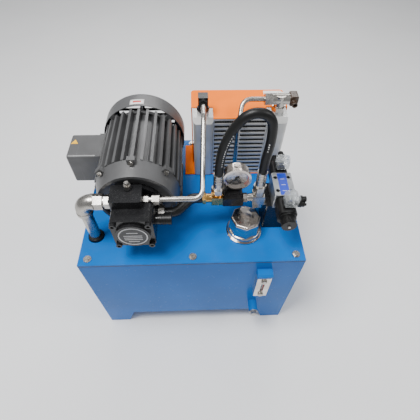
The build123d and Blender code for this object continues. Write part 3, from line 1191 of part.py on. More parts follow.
def make_manifold():
    body = block(MANIFOLD_LEFT_X, MANIFOLD_RIGHT_X, MANIFOLD_FRONT_Y, MANIFOLD_REAR_Y, LID_TOP, VALVE_Z)
    body = chamfer(body.edges().filter_by(Axis.Z), 2)
    for y in work_port_places():
        body -= rod((MANIFOLD_RIGHT_X + 1, y, WORK_PORT_Z), LEFT, WORK_PORT_DEPTH + 1, WORK_PORT_RADIUS)
        body -= rod((MANIFOLD_RIGHT_X, y, WORK_PORT_Z), LEFT, WORK_PORT_DEPTH + 8, 3.5)
        body -= rod((MANIFOLD_RIGHT_X - WORK_PORT_DEPTH - 5, y, WORK_PORT_Z), UP, 60, 3.5)
    body -= rod((MANIFOLD_LEFT_X - 1, LINE_Y, LINE_Z - MANIFOLD_INLET_DROP), RIGHT, 30, 5)
    body -= rod((VALVE_X, VALVE_Y, LID_TOP - 1), UP, 22, TANK_TUBE_RADIUS - 2)
    for x, y in valve_hole_points():
        body -= rod((x, y, VALVE_Z + 1), DOWN, 14, VALVE_SCREW_RADIUS + THREAD_CLEARANCE)
    return body


def make_tank_tube():
    """The valve's return tube, from the manifold's foot down into the oil."""
    return ring((VALVE_X, VALVE_Y, TANK_TUBE_BOTTOM), UP, LID_TOP - TANK_TUBE_BOTTOM,
                TANK_TUBE_RADIUS, TANK_TUBE_RADIUS - 2)


def make_valve_body():
    half = VALVE_WIDTH / 2
    body = block(VALVE_X - half, VALVE_X + half, VALVE_FRONT_Y, VALVE_REAR_Y, VALVE_Z, VALVE_TOP)
    body = chamfer(body.edges().filter_by(Axis.Z), 1.5)
    body -= rod(spool_axis(VALVE_FRONT_Y - 1), REAR, VALVE_LENGTH + 2, SPOOL_RADIUS + SHAFT_CLEARANCE)
    for x, y in valve_hole_points():
        body -= rod((x, y, VALVE_Z - 1), UP, VALVE_HEIGHT + 2, VALVE_SCREW_RADIUS + BOLT_CLEARANCE)
        body -= rod((x, y, VALVE_TOP + 1), DOWN, 9, 4.6)
    return body


def make_valve_screws():
    return [socket_screw((x, y, VALVE_TOP - 8), UP, VALVE_SCREW_RADIUS, VALVE_HEIGHT - 8 + 11, 4.25, 5)
            for x, y in valve_hole_points()]


def make_spool():
    half = VALVE_LENGTH / 2 - SPOOL_TRAVEL - 2
    spool = rod(spool_axis(VALVE_Y - half), REAR, 2 * half, SPOOL_RADIUS)
    for offset in (-18, 0, 18):
        spool -= ring(spool_axis(VALVE_Y + offset - 4), REAR, 8, SPOOL_RADIUS + 1, SPOOL_RADIUS - 3)
    return spool


def make_coil(face_y, side):
    """One solenoid: a moulded coil on the valve's end face, with a seat for its plug on top."""
    far = face_y + side * COIL_LENGTH_BODY
    half = COIL_RADIUS - 1
    coil = block(VALVE_X - half, VALVE_X + half, face_y, far, SPOOL_Z - half, SPOOL_Z + half)
    coil = fillet(coil.edges().filter_by(Axis.Y), 12)
    middle = (face_y + far) / 2
    coil += block(VALVE_X - 11, VALVE_X + 11, middle - 12, middle + 12, SPOOL_Z, PLUG_BOTTOM)
    return coil


def make_coil_nut(face_y, side):
    axis = REAR if side > 0 else FRONT
    base = spool_axis(face_y + side * COIL_LENGTH_BODY)
    nut = rod(base, axis, 5, COIL_RADIUS - 2)
    nut += rod(base, axis, COIL_NUT_LENGTH, COIL_NUT_RADIUS)
    ribs = 18
    for index in range(ribs):
        angle = math.radians(index * 360 / ribs)
        x = VALVE_X + COIL_NUT_RADIUS * math.cos(angle)
        z = SPOOL_Z + COIL_NUT_RADIUS * math.sin(angle)
        start = face_y + side * (COIL_LENGTH_BODY + 8)
        nut -= rod((x, start, z), axis, COIL_NUT_LENGTH, 1.3)
    depth = PIN_LENGTH - PIN_PROUD + SPOOL_TRAVEL + 1
    mouth = spool_axis(face_y + side * (COIL_LENGTH_BODY + COIL_NUT_LENGTH - depth))
    return nut - rod(mouth, axis, depth + 1, PIN_RADIUS + SHAFT_CLEARANCE)


def make_override_pin(face_y, side):
    axis = REAR if side > 0 else FRONT
    start = face_y + side * (COIL_LENGTH_BODY + COIL_NUT_LENGTH + PIN_PROUD - PIN_LENGTH)
    return rod(spool_axis(start), axis, PIN_LENGTH, PIN_RADIUS)


def make_plug(face_y, side, turn):
    """A clear plug on a coil, with its gland to the right or to the rear."""
    middle = face_y + side * COIL_LENGTH_BODY / 2
    half = PLUG_SIZE / 2
    plug = block(-half, half, -half, half, 0, PLUG_SIZE)
    plug = chamfer(plug.edges().filter_by(Axis.Y).sort_by(Axis.Z)[-2:], 7)
    plug += rod((half - 1, 0, PLUG_SIZE * 0.4), RIGHT, 6, 8)
    gland = hexagon((half + 5, 0, PLUG_SIZE * 0.4), RIGHT, 5, 15)
    gland += rod((half + 10, 0, PLUG_SIZE * 0.4), RIGHT, 8, 6.5)
    gland -= rod((half + 11, 0, PLUG_SIZE * 0.4), RIGHT, 9, 3.5)
    place = Pos(VALVE_X + 6, middle, PLUG_BOTTOM) * Rot(0, 0, turn)
    return place * plug, place * gland


# ================================================================ write every sub-part
gauge_cover, gauge_body, gauge_bolts = make_level_gauge()
save("tank_shell", make_tank_shell())
save("lid_plate", make_lid_plate())
save("lid_gasket", make_lid_gasket())
save("tank_bolts", *make_lid_bolts(), *gauge_bolts)
save("tank_baffle", make_tank_baffle())
save("level_gauge_cover", gauge_cover, make_level_gauge_cap())
save("level_gauge_window", gauge_body)
save("drain_plug", make_drain_plug())
save("pipe_grommets", *make_grommets())

stator, rotor, bearings = make_motor_inside()
terminal_box, terminal_lid = make_terminal_box()
save("motor_frame", make_motor_frame())
save("motor_end_bell", make_end_bell())
save("motor_rear_shield", make_rear_shield())
save("fan_cowl", make_fan_cowl())
save("motor_stator", stator)
save("motor_rotor", rotor)
save("motor_bearings", *bearings)
save("motor_fan", make_motor_fan())
save("terminal_box", terminal_box)
save("terminal_box_lid", terminal_lid)
save("motor_bolts", *make_motor_bolts())

save("pump_housing", make_pump_housing())
save("pump_cover", make_pump_cover())
save("pump_screws", *make_pump_screws())
save("cam_ring", make_cam_ring())
save("pump_rotor", make_pump_rotor())
save("pressure_adjuster", make_pressure_adjuster())
save("flow_screw", make_flow_screw())

elbow, union = make_suction_fittings()
save("suction_pipe", make_suction_pipe(), make_suction_strainer())
save("suction_fittings", elbow, union)

save("filler_flange", make_filler_flange())
save("filler_basket", make_filler_basket())
save("filler_cap", make_filler_cap())
save("cap_seal", make_cap_seal())
save("breather_element", make_breather_element())

thermostat, thermostat_gland = make_thermostat()
save("cooler_core", make_cooler_core())
save("cooler_headers", make_header(COOLER_LEFT_X), make_header(CORE_RIGHT_X))
save("fan_shroud", make_fan_shroud())
save("fan_guard", make_fan_guard())
save("cooler_fan", make_cooler_fan())
save("cooler_fan_motor", make_cooler_fan_motor())
black_elbow, zinc_tee = make_cooler_fittings()
save("cooler_elbow", black_elbow)
save("cooler_tee", zinc_tee)
save("thermostat", thermostat, thermostat_gland)
save("drain_pipe", make_drain_pipe())
save("return_pipe", make_return_pipe())

save("pressure_pipe", make_pressure_pipe())
save("arch_hose", hose("arch_hose", ARCH_HOSE_POINTS, ARCH_HOSE_RADIUS))
save("line_fittings", *make_line_adapters(), *make_ferrules())
save("brass_tee", make_brass_tee())
save("gauge_block", make_gauge_block())
save("right_tee", make_right_tee())
save("gauge_case", make_gauge_case(), make_gauge_dial())
save("gauge_needle", make_gauge_needle())

save("valve_manifold", make_manifold(), make_tank_tube())
save("valve_body", make_valve_body(), *make_valve_screws())
save("valve_spool", make_spool())
save("valve_coils", make_coil(VALVE_FRONT_Y, -1), make_coil(VALVE_REAR_Y, 1),
     make_coil_nut(VALVE_FRONT_Y, -1), make_coil_nut(VALVE_REAR_Y, 1))
save("front_override_pin", make_override_pin(VALVE_FRONT_Y, -1))
save("rear_override_pin", make_override_pin(VALVE_REAR_Y, 1))
front_plug, front_gland = make_plug(VALVE_FRONT_Y, -1, 0)
rear_plug, rear_gland = make_plug(VALVE_REAR_Y, 1, 90)
save("coil_plugs", front_plug, front_gland, rear_plug, rear_gland)
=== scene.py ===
import json
import math

import bmesh
import bpy
from bpy.props import FloatProperty, FloatVectorProperty, PointerProperty
from bpy.types import Operator, Panel, PropertyGroup
from mathutils import Matrix, Vector


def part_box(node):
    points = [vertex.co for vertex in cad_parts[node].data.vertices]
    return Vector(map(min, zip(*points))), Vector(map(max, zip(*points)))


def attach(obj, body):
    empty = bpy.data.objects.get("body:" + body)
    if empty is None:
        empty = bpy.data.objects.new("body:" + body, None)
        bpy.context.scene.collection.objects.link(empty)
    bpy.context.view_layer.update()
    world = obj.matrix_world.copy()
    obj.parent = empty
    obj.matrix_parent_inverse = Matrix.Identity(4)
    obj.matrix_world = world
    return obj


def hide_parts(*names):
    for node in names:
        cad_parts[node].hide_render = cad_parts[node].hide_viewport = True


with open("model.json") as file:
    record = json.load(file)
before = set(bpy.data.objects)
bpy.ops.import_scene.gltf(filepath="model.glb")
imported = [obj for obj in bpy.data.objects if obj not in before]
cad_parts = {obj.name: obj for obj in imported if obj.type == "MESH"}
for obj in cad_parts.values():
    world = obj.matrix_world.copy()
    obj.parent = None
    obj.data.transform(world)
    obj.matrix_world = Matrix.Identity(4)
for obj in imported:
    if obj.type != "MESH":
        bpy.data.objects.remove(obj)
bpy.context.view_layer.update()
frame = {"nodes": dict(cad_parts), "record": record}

bl_info = {
    "name": "Hydraulic power unit looks",
    "version": (1, 0, 0),
    "blender": (4, 5, 0),
    "location": "3D View > Sidebar > Power Unit",
    "description": "Finishes and small details of the hydraulic reservoir and the parts on its lid",
    "category": "Object",
}

MM = 0.001
MOTOR_AXIS_X = -127 * MM
MOTOR_AXIS_Z = 480 * MM


# ---------------------------------------------------------------- settings
class PaintSettings(PropertyGroup):
    lid_blue: FloatVectorProperty(
        name="Tank blue", description="Gloss enamel of the tank and its lid",
        default=(0.0, 0.13, 0.48), size=3, subtype="COLOR", min=0.0, max=1.0)
    cooler_orange: FloatVectorProperty(
        name="Cooler orange", description="Powder coat of the cooler's sheet metal",
        default=(1.0, 0.2, 0.0), size=3, subtype="COLOR", min=0.0, max=1.0)
    motor_grey: FloatVectorProperty(
        name="Motor grey", description="Satin paint of the motor's castings",
        default=(0.1, 0.1, 0.102), size=3, subtype="COLOR", min=0.0, max=1.0)
    casting_black: FloatVectorProperty(
        name="Casting black", description="Paint of the pump and the manifold",
        default=(0.012, 0.012, 0.013), size=3, subtype="COLOR", min=0.0, max=1.0)
    label_blue: FloatVectorProperty(
        name="Valve label blue", description="Plain label on top of the valve",
        default=(0.0, 0.035, 0.5), size=3, subtype="COLOR", min=0.0, max=1.0)


class DetailSettings(PropertyGroup):
    hose_diameter: FloatProperty(
        name="Hose diameter", description="Outside diameter of the arched rubber hose",
        default=0.020, min=0.005, max=0.05, unit="LENGTH")
    edge_round: FloatProperty(
        name="Edge round", description="Rounding of sheet and machined edges",
        default=0.0008, min=0.0, max=0.005, unit="LENGTH")
    fin_pitch: FloatProperty(
        name="Fin pitch", description="Distance from one folded cooler fin to the next",
        default=0.0042, min=0.001, max=0.02, unit="LENGTH")
    dial_radius: FloatProperty(
        name="Dial radius", description="Radius of the pressure gauge's white dial",
        default=0.0285, min=0.01, max=0.1, unit="LENGTH")
    floor_tone: FloatVectorProperty(
        name="Floor", description="Pale studio floor",
        default=(0.9, 0.9, 0.9), size=3, subtype="COLOR", min=0.0, max=1.0)


def paints():
    return bpy.context.scene.unit_paint


def details():
    return bpy.context.scene.unit_detail


# ---------------------------------------------------------------- node helpers
def link(tree, out_node, out_name, in_node, in_name):
    tree.links.new(out_node.outputs[out_name], in_node.inputs[in_name])


def new_group(name, inputs, outputs):
    """An empty shader group: inputs are (name, kind, default), outputs (name, kind)."""
    group = bpy.data.node_groups.new(name, "ShaderNodeTree")
    for label, kind, default in inputs:
        socket = group.interface.new_socket(name=label, in_out="INPUT",
                                            socket_type="NodeSocket" + kind)
        socket.default_value = default
    for label, kind in outputs:
        group.interface.new_socket(name=label, in_out="OUTPUT", socket_type="NodeSocket" + kind)
    return group, group.nodes.new("NodeGroupInput"), group.nodes.new("NodeGroupOutput")


def noise(tree, detail=3.0, rough=0.5):
    node = tree.nodes.new("ShaderNodeTexNoise")
    node.inputs["Detail"].default_value = detail
    node.inputs["Roughness"].default_value = rough
    coords = tree.nodes.new("ShaderNodeTexCoord")
    link(tree, coords, "Object", node, "Vector")
    return node


def ramp(tree, low, high):
    node = tree.nodes.new("ShaderNodeMapRange")
    node.interpolation_type = "SMOOTHSTEP"
    node.inputs["From Min"].default_value = low
    node.inputs["From Max"].default_value = high
    return node


def shade_group():
    """Two tones of one colour that drift over the surface."""
    group, source, sink = new_group("Tone drift", [
        ("Light", "Color", (1, 1, 1, 1)), ("Dark", "Color", (0.5, 0.5, 0.5, 1)),
                                                   ("Scale", "Float", 20.0)],
        [("Color", "Color")])
    field = noise(group)
    link(group, source, "Scale", field, "Scale")
    spread = ramp(group, 0.35, 0.68)
    link(group, field, "Fac", spread, "Value")
    mix = group.nodes.new("ShaderNodeMix")
    mix.data_type = "RGBA"
    group.links.new(spread.outputs["Result"], mix.inputs["Factor"])
    group.links.new(source.outputs["Light"], mix.inputs[6])
    group.links.new(source.outputs["Dark"], mix.inputs[7])
    group.links.new(mix.outputs[2], sink.inputs["Color"])
    return group


def wear_group():
    """A mask that is 1 along worn outer edges, broken up by noise."""
    group, source, sink = new_group("Edge wear",
                                    [("Radius", "Float", 0.001), ("Amount", "Float", 0.5)],
                                    [("Mask", "Float")])
    bevel = group.nodes.new("ShaderNodeBevel")
    bevel.samples = 4
    link(group, source, "Radius", bevel, "Radius")
    geometry = group.nodes.new("ShaderNodeNewGeometry")
    dot = group.nodes.new("ShaderNodeVectorMath")
    dot.operation = "DOT_PRODUCT"
    group.links.new(bevel.outputs["Normal"], dot.inputs[0])
    group.links.new(geometry.outputs["Normal"], dot.inputs[1])
    edge = group.nodes.new("ShaderNodeMapRange")
    edge.inputs["From Min"].default_value = 0.99
    edge.inputs["From Max"].default_value = 0.85
    link(group, dot, "Value", edge, "Value")
    field = noise(group, 5.0, 0.6)
    field.inputs["Scale"].default_value = 90.0
    spots = ramp(group, 0.42, 0.62)
    link(group, field, "Fac", spots, "Value")
    both = group.nodes.new("ShaderNodeMath")
    both.operation = "MULTIPLY"
    group.links.new(edge.outputs["Result"], both.inputs[0])
    group.links.new(spots.outputs["Result"], both.inputs[1])
    scaled = group.nodes.new("ShaderNodeMath")
    scaled.operation = "MULTIPLY"
    scaled.use_clamp = True
    group.links.new(both.outputs[0], scaled.inputs[0])
    group.links.new(source.outputs["Amount"], scaled.inputs[1])
    group.links.new(scaled.outputs[0], sink.inputs["Mask"])
    return group


def dust_group():
    """A mask of dust on faces that look up, in soft patches."""
    group, source, sink = new_group("Settled dust", [("Amount", "Float", 0.2)], [("Mask", "Float")])
    geometry = group.nodes.new("ShaderNodeNewGeometry")
    parts = group.nodes.new("ShaderNodeSeparateXYZ")
    link(group, geometry, "Normal", parts, "Vector")
    upward = ramp(group, 0.55, 0.95)
    link(group, parts, "Z", upward, "Value")
    field = noise(group, 6.0, 0.7)
    field.inputs["Scale"].default_value = 14.0
    patches = ramp(group, 0.4, 0.75)
    link(group, field, "Fac", patches, "Value")
    both = group.nodes.new("ShaderNodeMath")
    both.operation = "MULTIPLY"
    group.links.new(upward.outputs["Result"], both.inputs[0])
    group.links.new(patches.outputs["Result"], both.inputs[1])
    scaled = group.nodes.new("ShaderNodeMath")
    scaled.operation = "MULTIPLY"
    group.links.new(both.outputs[0], scaled.inputs[0])
    group.links.new(source.outputs["Amount"], scaled.inputs[1])
    group.links.new(scaled.outputs[0], sink.inputs["Mask"])
    return group


def grain_group():
    """Fine grain: a roughness between two values, and a height for a bump."""
    group, source, sink = new_group("Surface grain", [
        ("Scale", "Float", 300.0), ("Smooth", "Float", 0.3), ("Rough", "Float", 0.5)],
        [("Roughness", "Float"), ("Height", "Float")])
    field = noise(group, 4.0, 0.6)
    link(group, source, "Scale", field, "Scale")
    spread = group.nodes.new("ShaderNodeMapRange")
    spread.inputs["From Min"].default_value = 0.3
    spread.inputs["From Max"].default_value = 0.7
    link(group, field, "Fac", spread, "Value")
    link(group, source, "Smooth", spread, "To Min")
    link(group, source, "Rough", spread, "To Max")
    link(group, spread, "Result", sink, "Roughness")
    link(group, field, "Fac", sink, "Height")
    return group


GROUP_MAKERS = {"shade": shade_group, "wear": wear_group, "dust": dust_group, "grain": grain_group}
GROUPS = {}
MATERIALS = {}


def place_group(tree, kind, **values):
    if kind not in GROUPS:
        GROUPS[kind] = GROUP_MAKERS[kind]()
    node = tree.nodes.new("ShaderNodeGroup")
    node.node_tree = GROUPS[kind]
    for label, value in values.items():
        node.inputs[label].default_value = value
    return node


def blend_colour(tree, mask_node, mask_name, colour_socket, over):
    mix = tree.nodes.new("ShaderNodeMix")
    mix.data_type = "RGBA"
    tree.links.new(mask_node.outputs[mask_name], mix.inputs["Factor"])
    tree.links.new(colour_socket, mix.inputs[6])
    mix.inputs[7].default_value = (*over, 1.0)
    return mix.outputs[2]


def finish(name, light, dark=None, metallic=0.0, smooth=0.3, rough=0.45, scale=18.0, grain=320.0,
           bump=0.05, wear=0.0, wear_colour=(0.5, 0.5, 0.5), wear_radius=0.0012, dust=0.0, coat=0.0,
           specular=0.5):
    """A procedural finish: drifting tone, grain in roughness and relief, worn edges and dust."""
    if name in MATERIALS:
        return MATERIALS[name]
    material = bpy.data.materials.new(name)
    material.use_nodes = True
    tree = material.node_tree
    shader = tree.nodes["Principled BSDF"]
    shader.inputs["Metallic"].default_value = metallic
    shader.inputs["Coat Weight"].default_value = coat
    shader.inputs["Coat Roughness"].default_value = 0.08
    shader.inputs["Specular IOR Level"].default_value = specular
    dark = dark or tuple(part * 0.8 for part in light)
    tone = place_group(tree, "shade", Light=(*light, 1.0), Dark=(*dark, 1.0), Scale=scale)
    colour = tone.outputs["Color"]
    if wear:
        mask = place_group(tree, "wear", Radius=wear_radius, Amount=wear)
        colour = blend_colour(tree, mask, "Mask", colour, wear_colour)
    if dust:
        mask = place_group(tree, "dust", Amount=dust)
        colour = blend_colour(tree, mask, "Mask", colour, (0.45, 0.42, 0.38))
    tree.links.new(colour, shader.inputs["Base Color"])
    surface = place_group(tree, "grain", Scale=grain, Smooth=smooth, Rough=rough)
    link(tree, surface, "Roughness", shader, "Roughness")
    relief = tree.nodes.new("ShaderNodeBump")
    relief.inputs["Strength"].default_value = bump
    relief.inputs["Distance"].default_value = 0.0006
    link(tree, surface, "Height", relief, "Height")
    link(tree, relief, "Normal", shader, "Normal")
    MATERIALS[name] = material
    return material


def clear_finish(name, tint, roughness, transmission, alpha):
    """Clear moulded plastic or glass, with a faintly uneven tint."""
    if name in MATERIALS:
        return MATERIALS[name]
    material = bpy.data.materials.new(name)
    material.use_nodes = True
    tree = material.node_tree
    shader = tree.nodes["Principled BSDF"]
    shader.inputs["Transmission Weight"].default_value = transmission
    shader.inputs["Alpha"].default_value = alpha
    shader.inputs["IOR"].default_value = 1.45
    tone = place_group(tree, "shade", Light=(*tint, 1.0),
                       Dark=tuple(t * 0.9 for t in tint) + (1.0,), Scale=60.0)
    link(tree, tone, "Color", shader, "Base Color")
    surface = place_group(tree, "grain", Scale=200.0, Smooth=roughness, Rough=roughness + 0.08)
    link(tree, surface, "Roughness", shader, "Roughness")
    MATERIALS[name] = material
    return material


# ---------------------------------------------------------------- finishes
def blue_enamel():
    blue = tuple(paints().lid_blue)
    return finish("blue_enamel", blue, tuple(part * 0.86 for part in blue), smooth=0.2, rough=0.28,
                  scale=6.0, grain=120.0, bump=0.015, wear=0.2, wear_colour=(0.1, 0.3, 0.6),
                  dust=0.02, specular=0.1)


def orange_coat():
    orange = tuple(paints().cooler_orange)
    return finish("orange_coat", orange, tuple(part * 0.88 for part in orange), smooth=0.34,
                  rough=0.46, scale=9.0, grain=420.0, bump=0.08, wear=0.2,
                  wear_colour=(0.9, 0.35, 0.1), specular=0.04)


def motor_paint():
    grey = tuple(paints().motor_grey)
    return finish("motor_paint", grey, tuple(part * 0.75 for part in grey), metallic=0.2,
                  smooth=0.32, rough=0.44, scale=14.0, grain=260.0, bump=0.14, wear=0.3,
                  wear_colour=(0.28, 0.28, 0.28), wear_radius=0.0016, dust=0.03)


def cast_black():
    black = tuple(paints().casting_black)
    return finish("cast_black", black, tuple(part * 0.7 for part in black), smooth=0.14, rough=0.34,
                  scale=26.0, grain=210.0, bump=0.2, wear=0.3, wear_colour=(0.06, 0.06, 0.06),
                  specular=0.3, coat=0.15)


def black_sheet():
    return finish("black_sheet_coat", (0.01, 0.01, 0.011), (0.006, 0.006, 0.006), smooth=0.22,
                  rough=0.36, scale=24.0, grain=380.0, bump=0.1, wear=0.3,
                  wear_colour=(0.12, 0.12, 0.12), specular=0.35)


def black_plastic():
    return finish("black_moulding", (0.006, 0.006, 0.006), (0.004, 0.004, 0.004), smooth=0.3,
                  rough=0.46, scale=30.0, grain=520.0, bump=0.08, wear=0.2,
                  wear_colour=(0.06, 0.06, 0.06), specular=0.35)


def rubber():
    return finish("hose_rubber", (0.006, 0.006, 0.006), (0.004, 0.004, 0.004), smooth=0.34,
                  rough=0.52, scale=60.0, grain=700.0, bump=0.2, specular=0.3)


def zinc():
    return finish("zinc_plate", (0.5, 0.48, 0.45), (0.36, 0.34, 0.31), metallic=1.0, smooth=0.2,
                  rough=0.38, scale=36.0, grain=420.0, bump=0.08, wear=0.5,
                  wear_colour=(0.85, 0.84, 0.82), dust=0.04)


def bare_steel():
    return finish("turned_steel", (0.5, 0.5, 0.51), (0.34, 0.34, 0.35), metallic=1.0, smooth=0.24,
                  rough=0.42, scale=40.0, grain=500.0, bump=0.1)


def chrome():
    return finish("bright_chrome", (0.74, 0.7, 0.66), (0.56, 0.5, 0.46), metallic=1.0, smooth=0.1,
                  rough=0.24, scale=22.0, grain=160.0, bump=0.02)


def aluminium():
    return finish("mill_aluminium", (0.56, 0.56, 0.55), (0.48, 0.48, 0.47), metallic=0.45,
                  smooth=0.34, rough=0.5, scale=22.0, grain=460.0, bump=0.12, wear=0.4,
                  wear_colour=(0.85, 0.85, 0.85))


# Fin foil coloured near black: painted shade for the narrow, deep gaps between the cooler's bars,
# where bare aluminium foil would be pale.
def fin_aluminium():
    return finish("fin_foil_painted_shade", (0.05, 0.05, 0.05), (0.025, 0.025, 0.025), metallic=0.5, smooth=0.35,
                  rough=0.5, scale=80.0, grain=500.0, bump=0.1)


def brass():
    return finish("turned_brass", (0.72, 0.42, 0.13), (0.52, 0.3, 0.1), metallic=1.0, smooth=0.16,
                  rough=0.32, scale=44.0, grain=380.0, bump=0.08, wear=0.5,
                  wear_colour=(0.9, 0.66, 0.3))


def valve_casting():
    return finish("valve_cast", (0.36, 0.37, 0.38), (0.26, 0.27, 0.28), metallic=0.75, smooth=0.32,
                  rough=0.5, scale=40.0, grain=300.0, bump=0.28, wear=0.5,
                  wear_colour=(0.62, 0.62, 0.62), dust=0.04)


def brown_plastic():
    return finish("brown_moulding", (0.055, 0.03, 0.018), (0.035, 0.02, 0.012), smooth=0.24,
                  rough=0.38, scale=40.0, grain=420.0, bump=0.06)


def red_plastic():
    return finish("red_moulding", (0.75, 0.09, 0.02), (0.6, 0.06, 0.015), smooth=0.24, rough=0.36,
                  scale=40.0, grain=420.0, bump=0.05)


def white_print():
    return finish("white_print", (0.82, 0.82, 0.8), (0.74, 0.74, 0.72), smooth=0.3, rough=0.42,
                  scale=50.0, grain=600.0, bump=0.02)


def red_print():
    return finish("red_print", (0.62, 0.05, 0.03), (0.52, 0.04, 0.03), smooth=0.3, rough=0.42,
                  scale=50.0, grain=600.0, bump=0.02)


def yellow_print():
    return finish("yellow_print", (0.9, 0.5, 0.01), (0.8, 0.42, 0.01), smooth=0.3, rough=0.42,
                  scale=50.0, grain=600.0, bump=0.02)


def blue_print():
    blue = tuple(paints().label_blue)
    return finish("blue_print", blue, tuple(part * 0.85 for part in blue), smooth=0.26, rough=0.4,
                  scale=50.0, grain=600.0, bump=0.02)


def black_print():
    return finish("black_print", (0.008, 0.008, 0.008), (0.012, 0.012, 0.012), smooth=0.32,
                  rough=0.45, scale=50.0, grain=600.0, bump=0.02)


def grey_print():
    return finish("grey_print", (0.5, 0.5, 0.5), (0.4, 0.4, 0.41), metallic=0.5, smooth=0.3,
                  rough=0.45, scale=40.0, grain=500.0, bump=0.03)


def clear_plastic():
    return clear_finish("clear_moulding", (0.8, 0.84, 0.86), 0.08, 0.6, 0.55)


def dial_glass():
    return clear_finish("dial_glass", (0.95, 0.97, 1.0), 0.02, 0.0, 0.03)


SLOT_FINISHES = {
    "blue_paint": blue_enamel, "black_rubber": rubber, "zinc_steel": zinc,
                 "plain_steel": bare_steel,
    "aluminium": aluminium, "clear_plastic": clear_plastic, "grey_motor_paint": motor_paint,
    "black_plastic": black_plastic, "black_cast_iron": cast_black, "chrome": chrome,
    "orange_paint": orange_coat, "black_sheet": black_sheet, "brown_plastic": brown_plastic,
    "brass": brass, "valve_casting": valve_casting,
}


# ---------------------------------------------------------------- mesh helpers
def add_piece(name, mesh, body, slot, *materials, smooth_angle=0.6, bevel=0.0, segments=2):
    """A mesh object that rides on a body, with its materials, soft shading and rounded edges."""
    for material in materials:
        mesh.materials.append(material)
    obj = bpy.data.objects.new(name, mesh)
    bpy.context.scene.collection.objects.link(obj)
    mesh.shade_smooth()
    mesh.set_sharp_from_angle(angle=smooth_angle)
    if bevel:
        edge = obj.modifiers.new("edge_round", "BEVEL")
        edge.width = bevel
        edge.segments = segments
        edge.limit_method = "ANGLE"
        edge.harden_normals = False
    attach(obj, body)
    return obj


def mesh_of(form, name):
    mesh = bpy.data.meshes.new(name)
    form.to_mesh(mesh)
    form.free()
    return mesh


def lathe(form, profile, centre, axis, steps=64, material=0):
    """Adds a turned shape: profile is (along, radius) pairs, turned about axis at centre."""
    axis = Vector(axis).normalized()
    side = axis.orthogonal().normalized()
    other = axis.cross(side)
    rings = []
    for along, radius in profile:
        middle = Vector(centre) + axis * along
        if radius <= 0:
            rings.append([form.verts.new(middle)])
            continue
        rings.append([form.verts.new(middle + side * radius * math.cos(2 * math.pi * k / steps)
                                     + other * radius * math.sin(2 * math.pi * k / steps))
                      for k in range(steps)])
    for lower, upper in zip(rings, rings[1:]):
        for k in range(steps):
            corners = [lower[k % len(lower)], lower[(k + 1) % len(lower)],
                       upper[(k + 1) % len(upper)], upper[k % len(upper)]]
            unique = list(dict.fromkeys(corners))
            if len(unique) > 2:
                form.faces.new(unique).material_index = material


def outline(form, points, thickness, frame_matrix, material=0):
    """Adds a flat plate whose outline is points, thickness deep along the frame's Z."""
    lower = [form.verts.new(frame_matrix @ Vector((x, y, 0))) for x, y in points]
    upper = [form.verts.new(frame_matrix @ Vector((x, y, thickness))) for x, y in points]
    form.faces.new(lower[::-1]).material_index = material
    form.faces.new(upper).material_index = material
    count = len(points)
    for k in range(count):
        nxt = (k + 1) % count
        form.faces.new([lower[k], lower[nxt], upper[nxt], upper[k]]).material_index = material


def round_rectangle(width, height, radius, steps=6):
    """Points round a rectangle with rounded corners, centred on the origin."""
    points = []
    for quarter in range(4):
        turn = quarter * math.pi / 2
        sx = 1 if quarter in (0, 3) else -1
        sy = 1 if quarter in (0, 1) else -1
        centre = Vector((sx * (width / 2 - radius), sy * (height / 2 - radius)))
        points += [centre + radius * Vector((math.cos(turn + k * math.pi / 2 / steps),
                                             math.sin(turn + k * math.pi / 2 / steps)))
                   for k in range(steps + 1)]
    return points


def arc_band(inner, outer, start, end, steps):
    """Outline points of a flat band between two radii and two angles."""
    angles = [start + (end - start) * k / steps for k in range(steps + 1)]
    return ([Vector((inner * math.cos(a), inner * math.sin(a))) for a in angles]
            + [Vector((outer * math.cos(a), outer * math.sin(a))) for a in reversed(angles)])


def facing(origin, normal, up):
    """A frame at origin whose Z is normal and whose Y is as near as it gets to up."""
    z = Vector(normal).normalized()
    x = Vector(up).cross(z).normalized()
    y = z.cross(x)
    matrix = Matrix((x, y, z)).transposed().to_4x4()
    matrix.translation = Vector(origin)
    return matrix


def islands(mesh):
    """Lists of vertex indices, one for each closed shell of the mesh."""
    form = bmesh.new()
    form.from_mesh(mesh)
    bmesh.ops.remove_doubles(form, verts=form.verts, dist=1e-6)
    form.verts.ensure_lookup_table()
    seen = set()
    found = []
    for vert in form.verts:
        if vert.index in seen:
            continue
        stack = [vert]
        seen.add(vert.index)
        members = []
        while stack:
            here = stack.pop()
            members.append(here)
            for edge in here.link_edges:
                there = edge.other_vert(here)
                if there.index not in seen:
                    seen.add(there.index)
                    stack.append(there)
        found.append(members)
    return form, found


def recast(node, name, body, slot, choose, *materials, bevel=0.0):
    """A piece shaped like a CAD node whose shells take different finishes.

    choose(low, high) gets a shell's box and gives the number of its material.
    """
    form, shells = islands(frame["nodes"][node].data)
    for members in shells:
        low = Vector([min(vert.co[k] for vert in members) for k in range(3)])
        high = Vector([max(vert.co[k] for vert in members) for k in range(3)])
        number = choose(low, high)
        for face in {face for vert in members for face in vert.link_faces}:
            face.material_index = number
    bmesh.ops.dissolve_limit(form, angle_limit=0.004, verts=form.verts, edges=form.edges)
    piece = add_piece(name, mesh_of(form, name), body, slot, *materials, bevel=bevel)
    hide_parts(node)
    return piece


# ---------------------------------------------------------------- the arched hose
HOSE_POINTS = (
    (62, -97, 528), (62, -97, 578), (66, -97, 622), (76, -97, 660), (90, -97, 689), (106, -97, 710),
    (125, -97, 718), (145, -97, 714), (158, -97, 699), (162, -97, 676), (163, -97, 640),
               (159, -97, 592),
    (159, -97, 534))


def centreline(curve_object):
    """Points along a curve object's own line, with its tube left off."""
    depth = curve_object.data.bevel_depth
    curve_object.data.bevel_depth = 0.0
    bpy.context.view_layer.update()
    line = curve_object.to_mesh()
    points = [vert.co.copy() for vert in line.vertices]
    curve_object.to_mesh_clear()
    curve_object.data.bevel_depth = depth
    return points


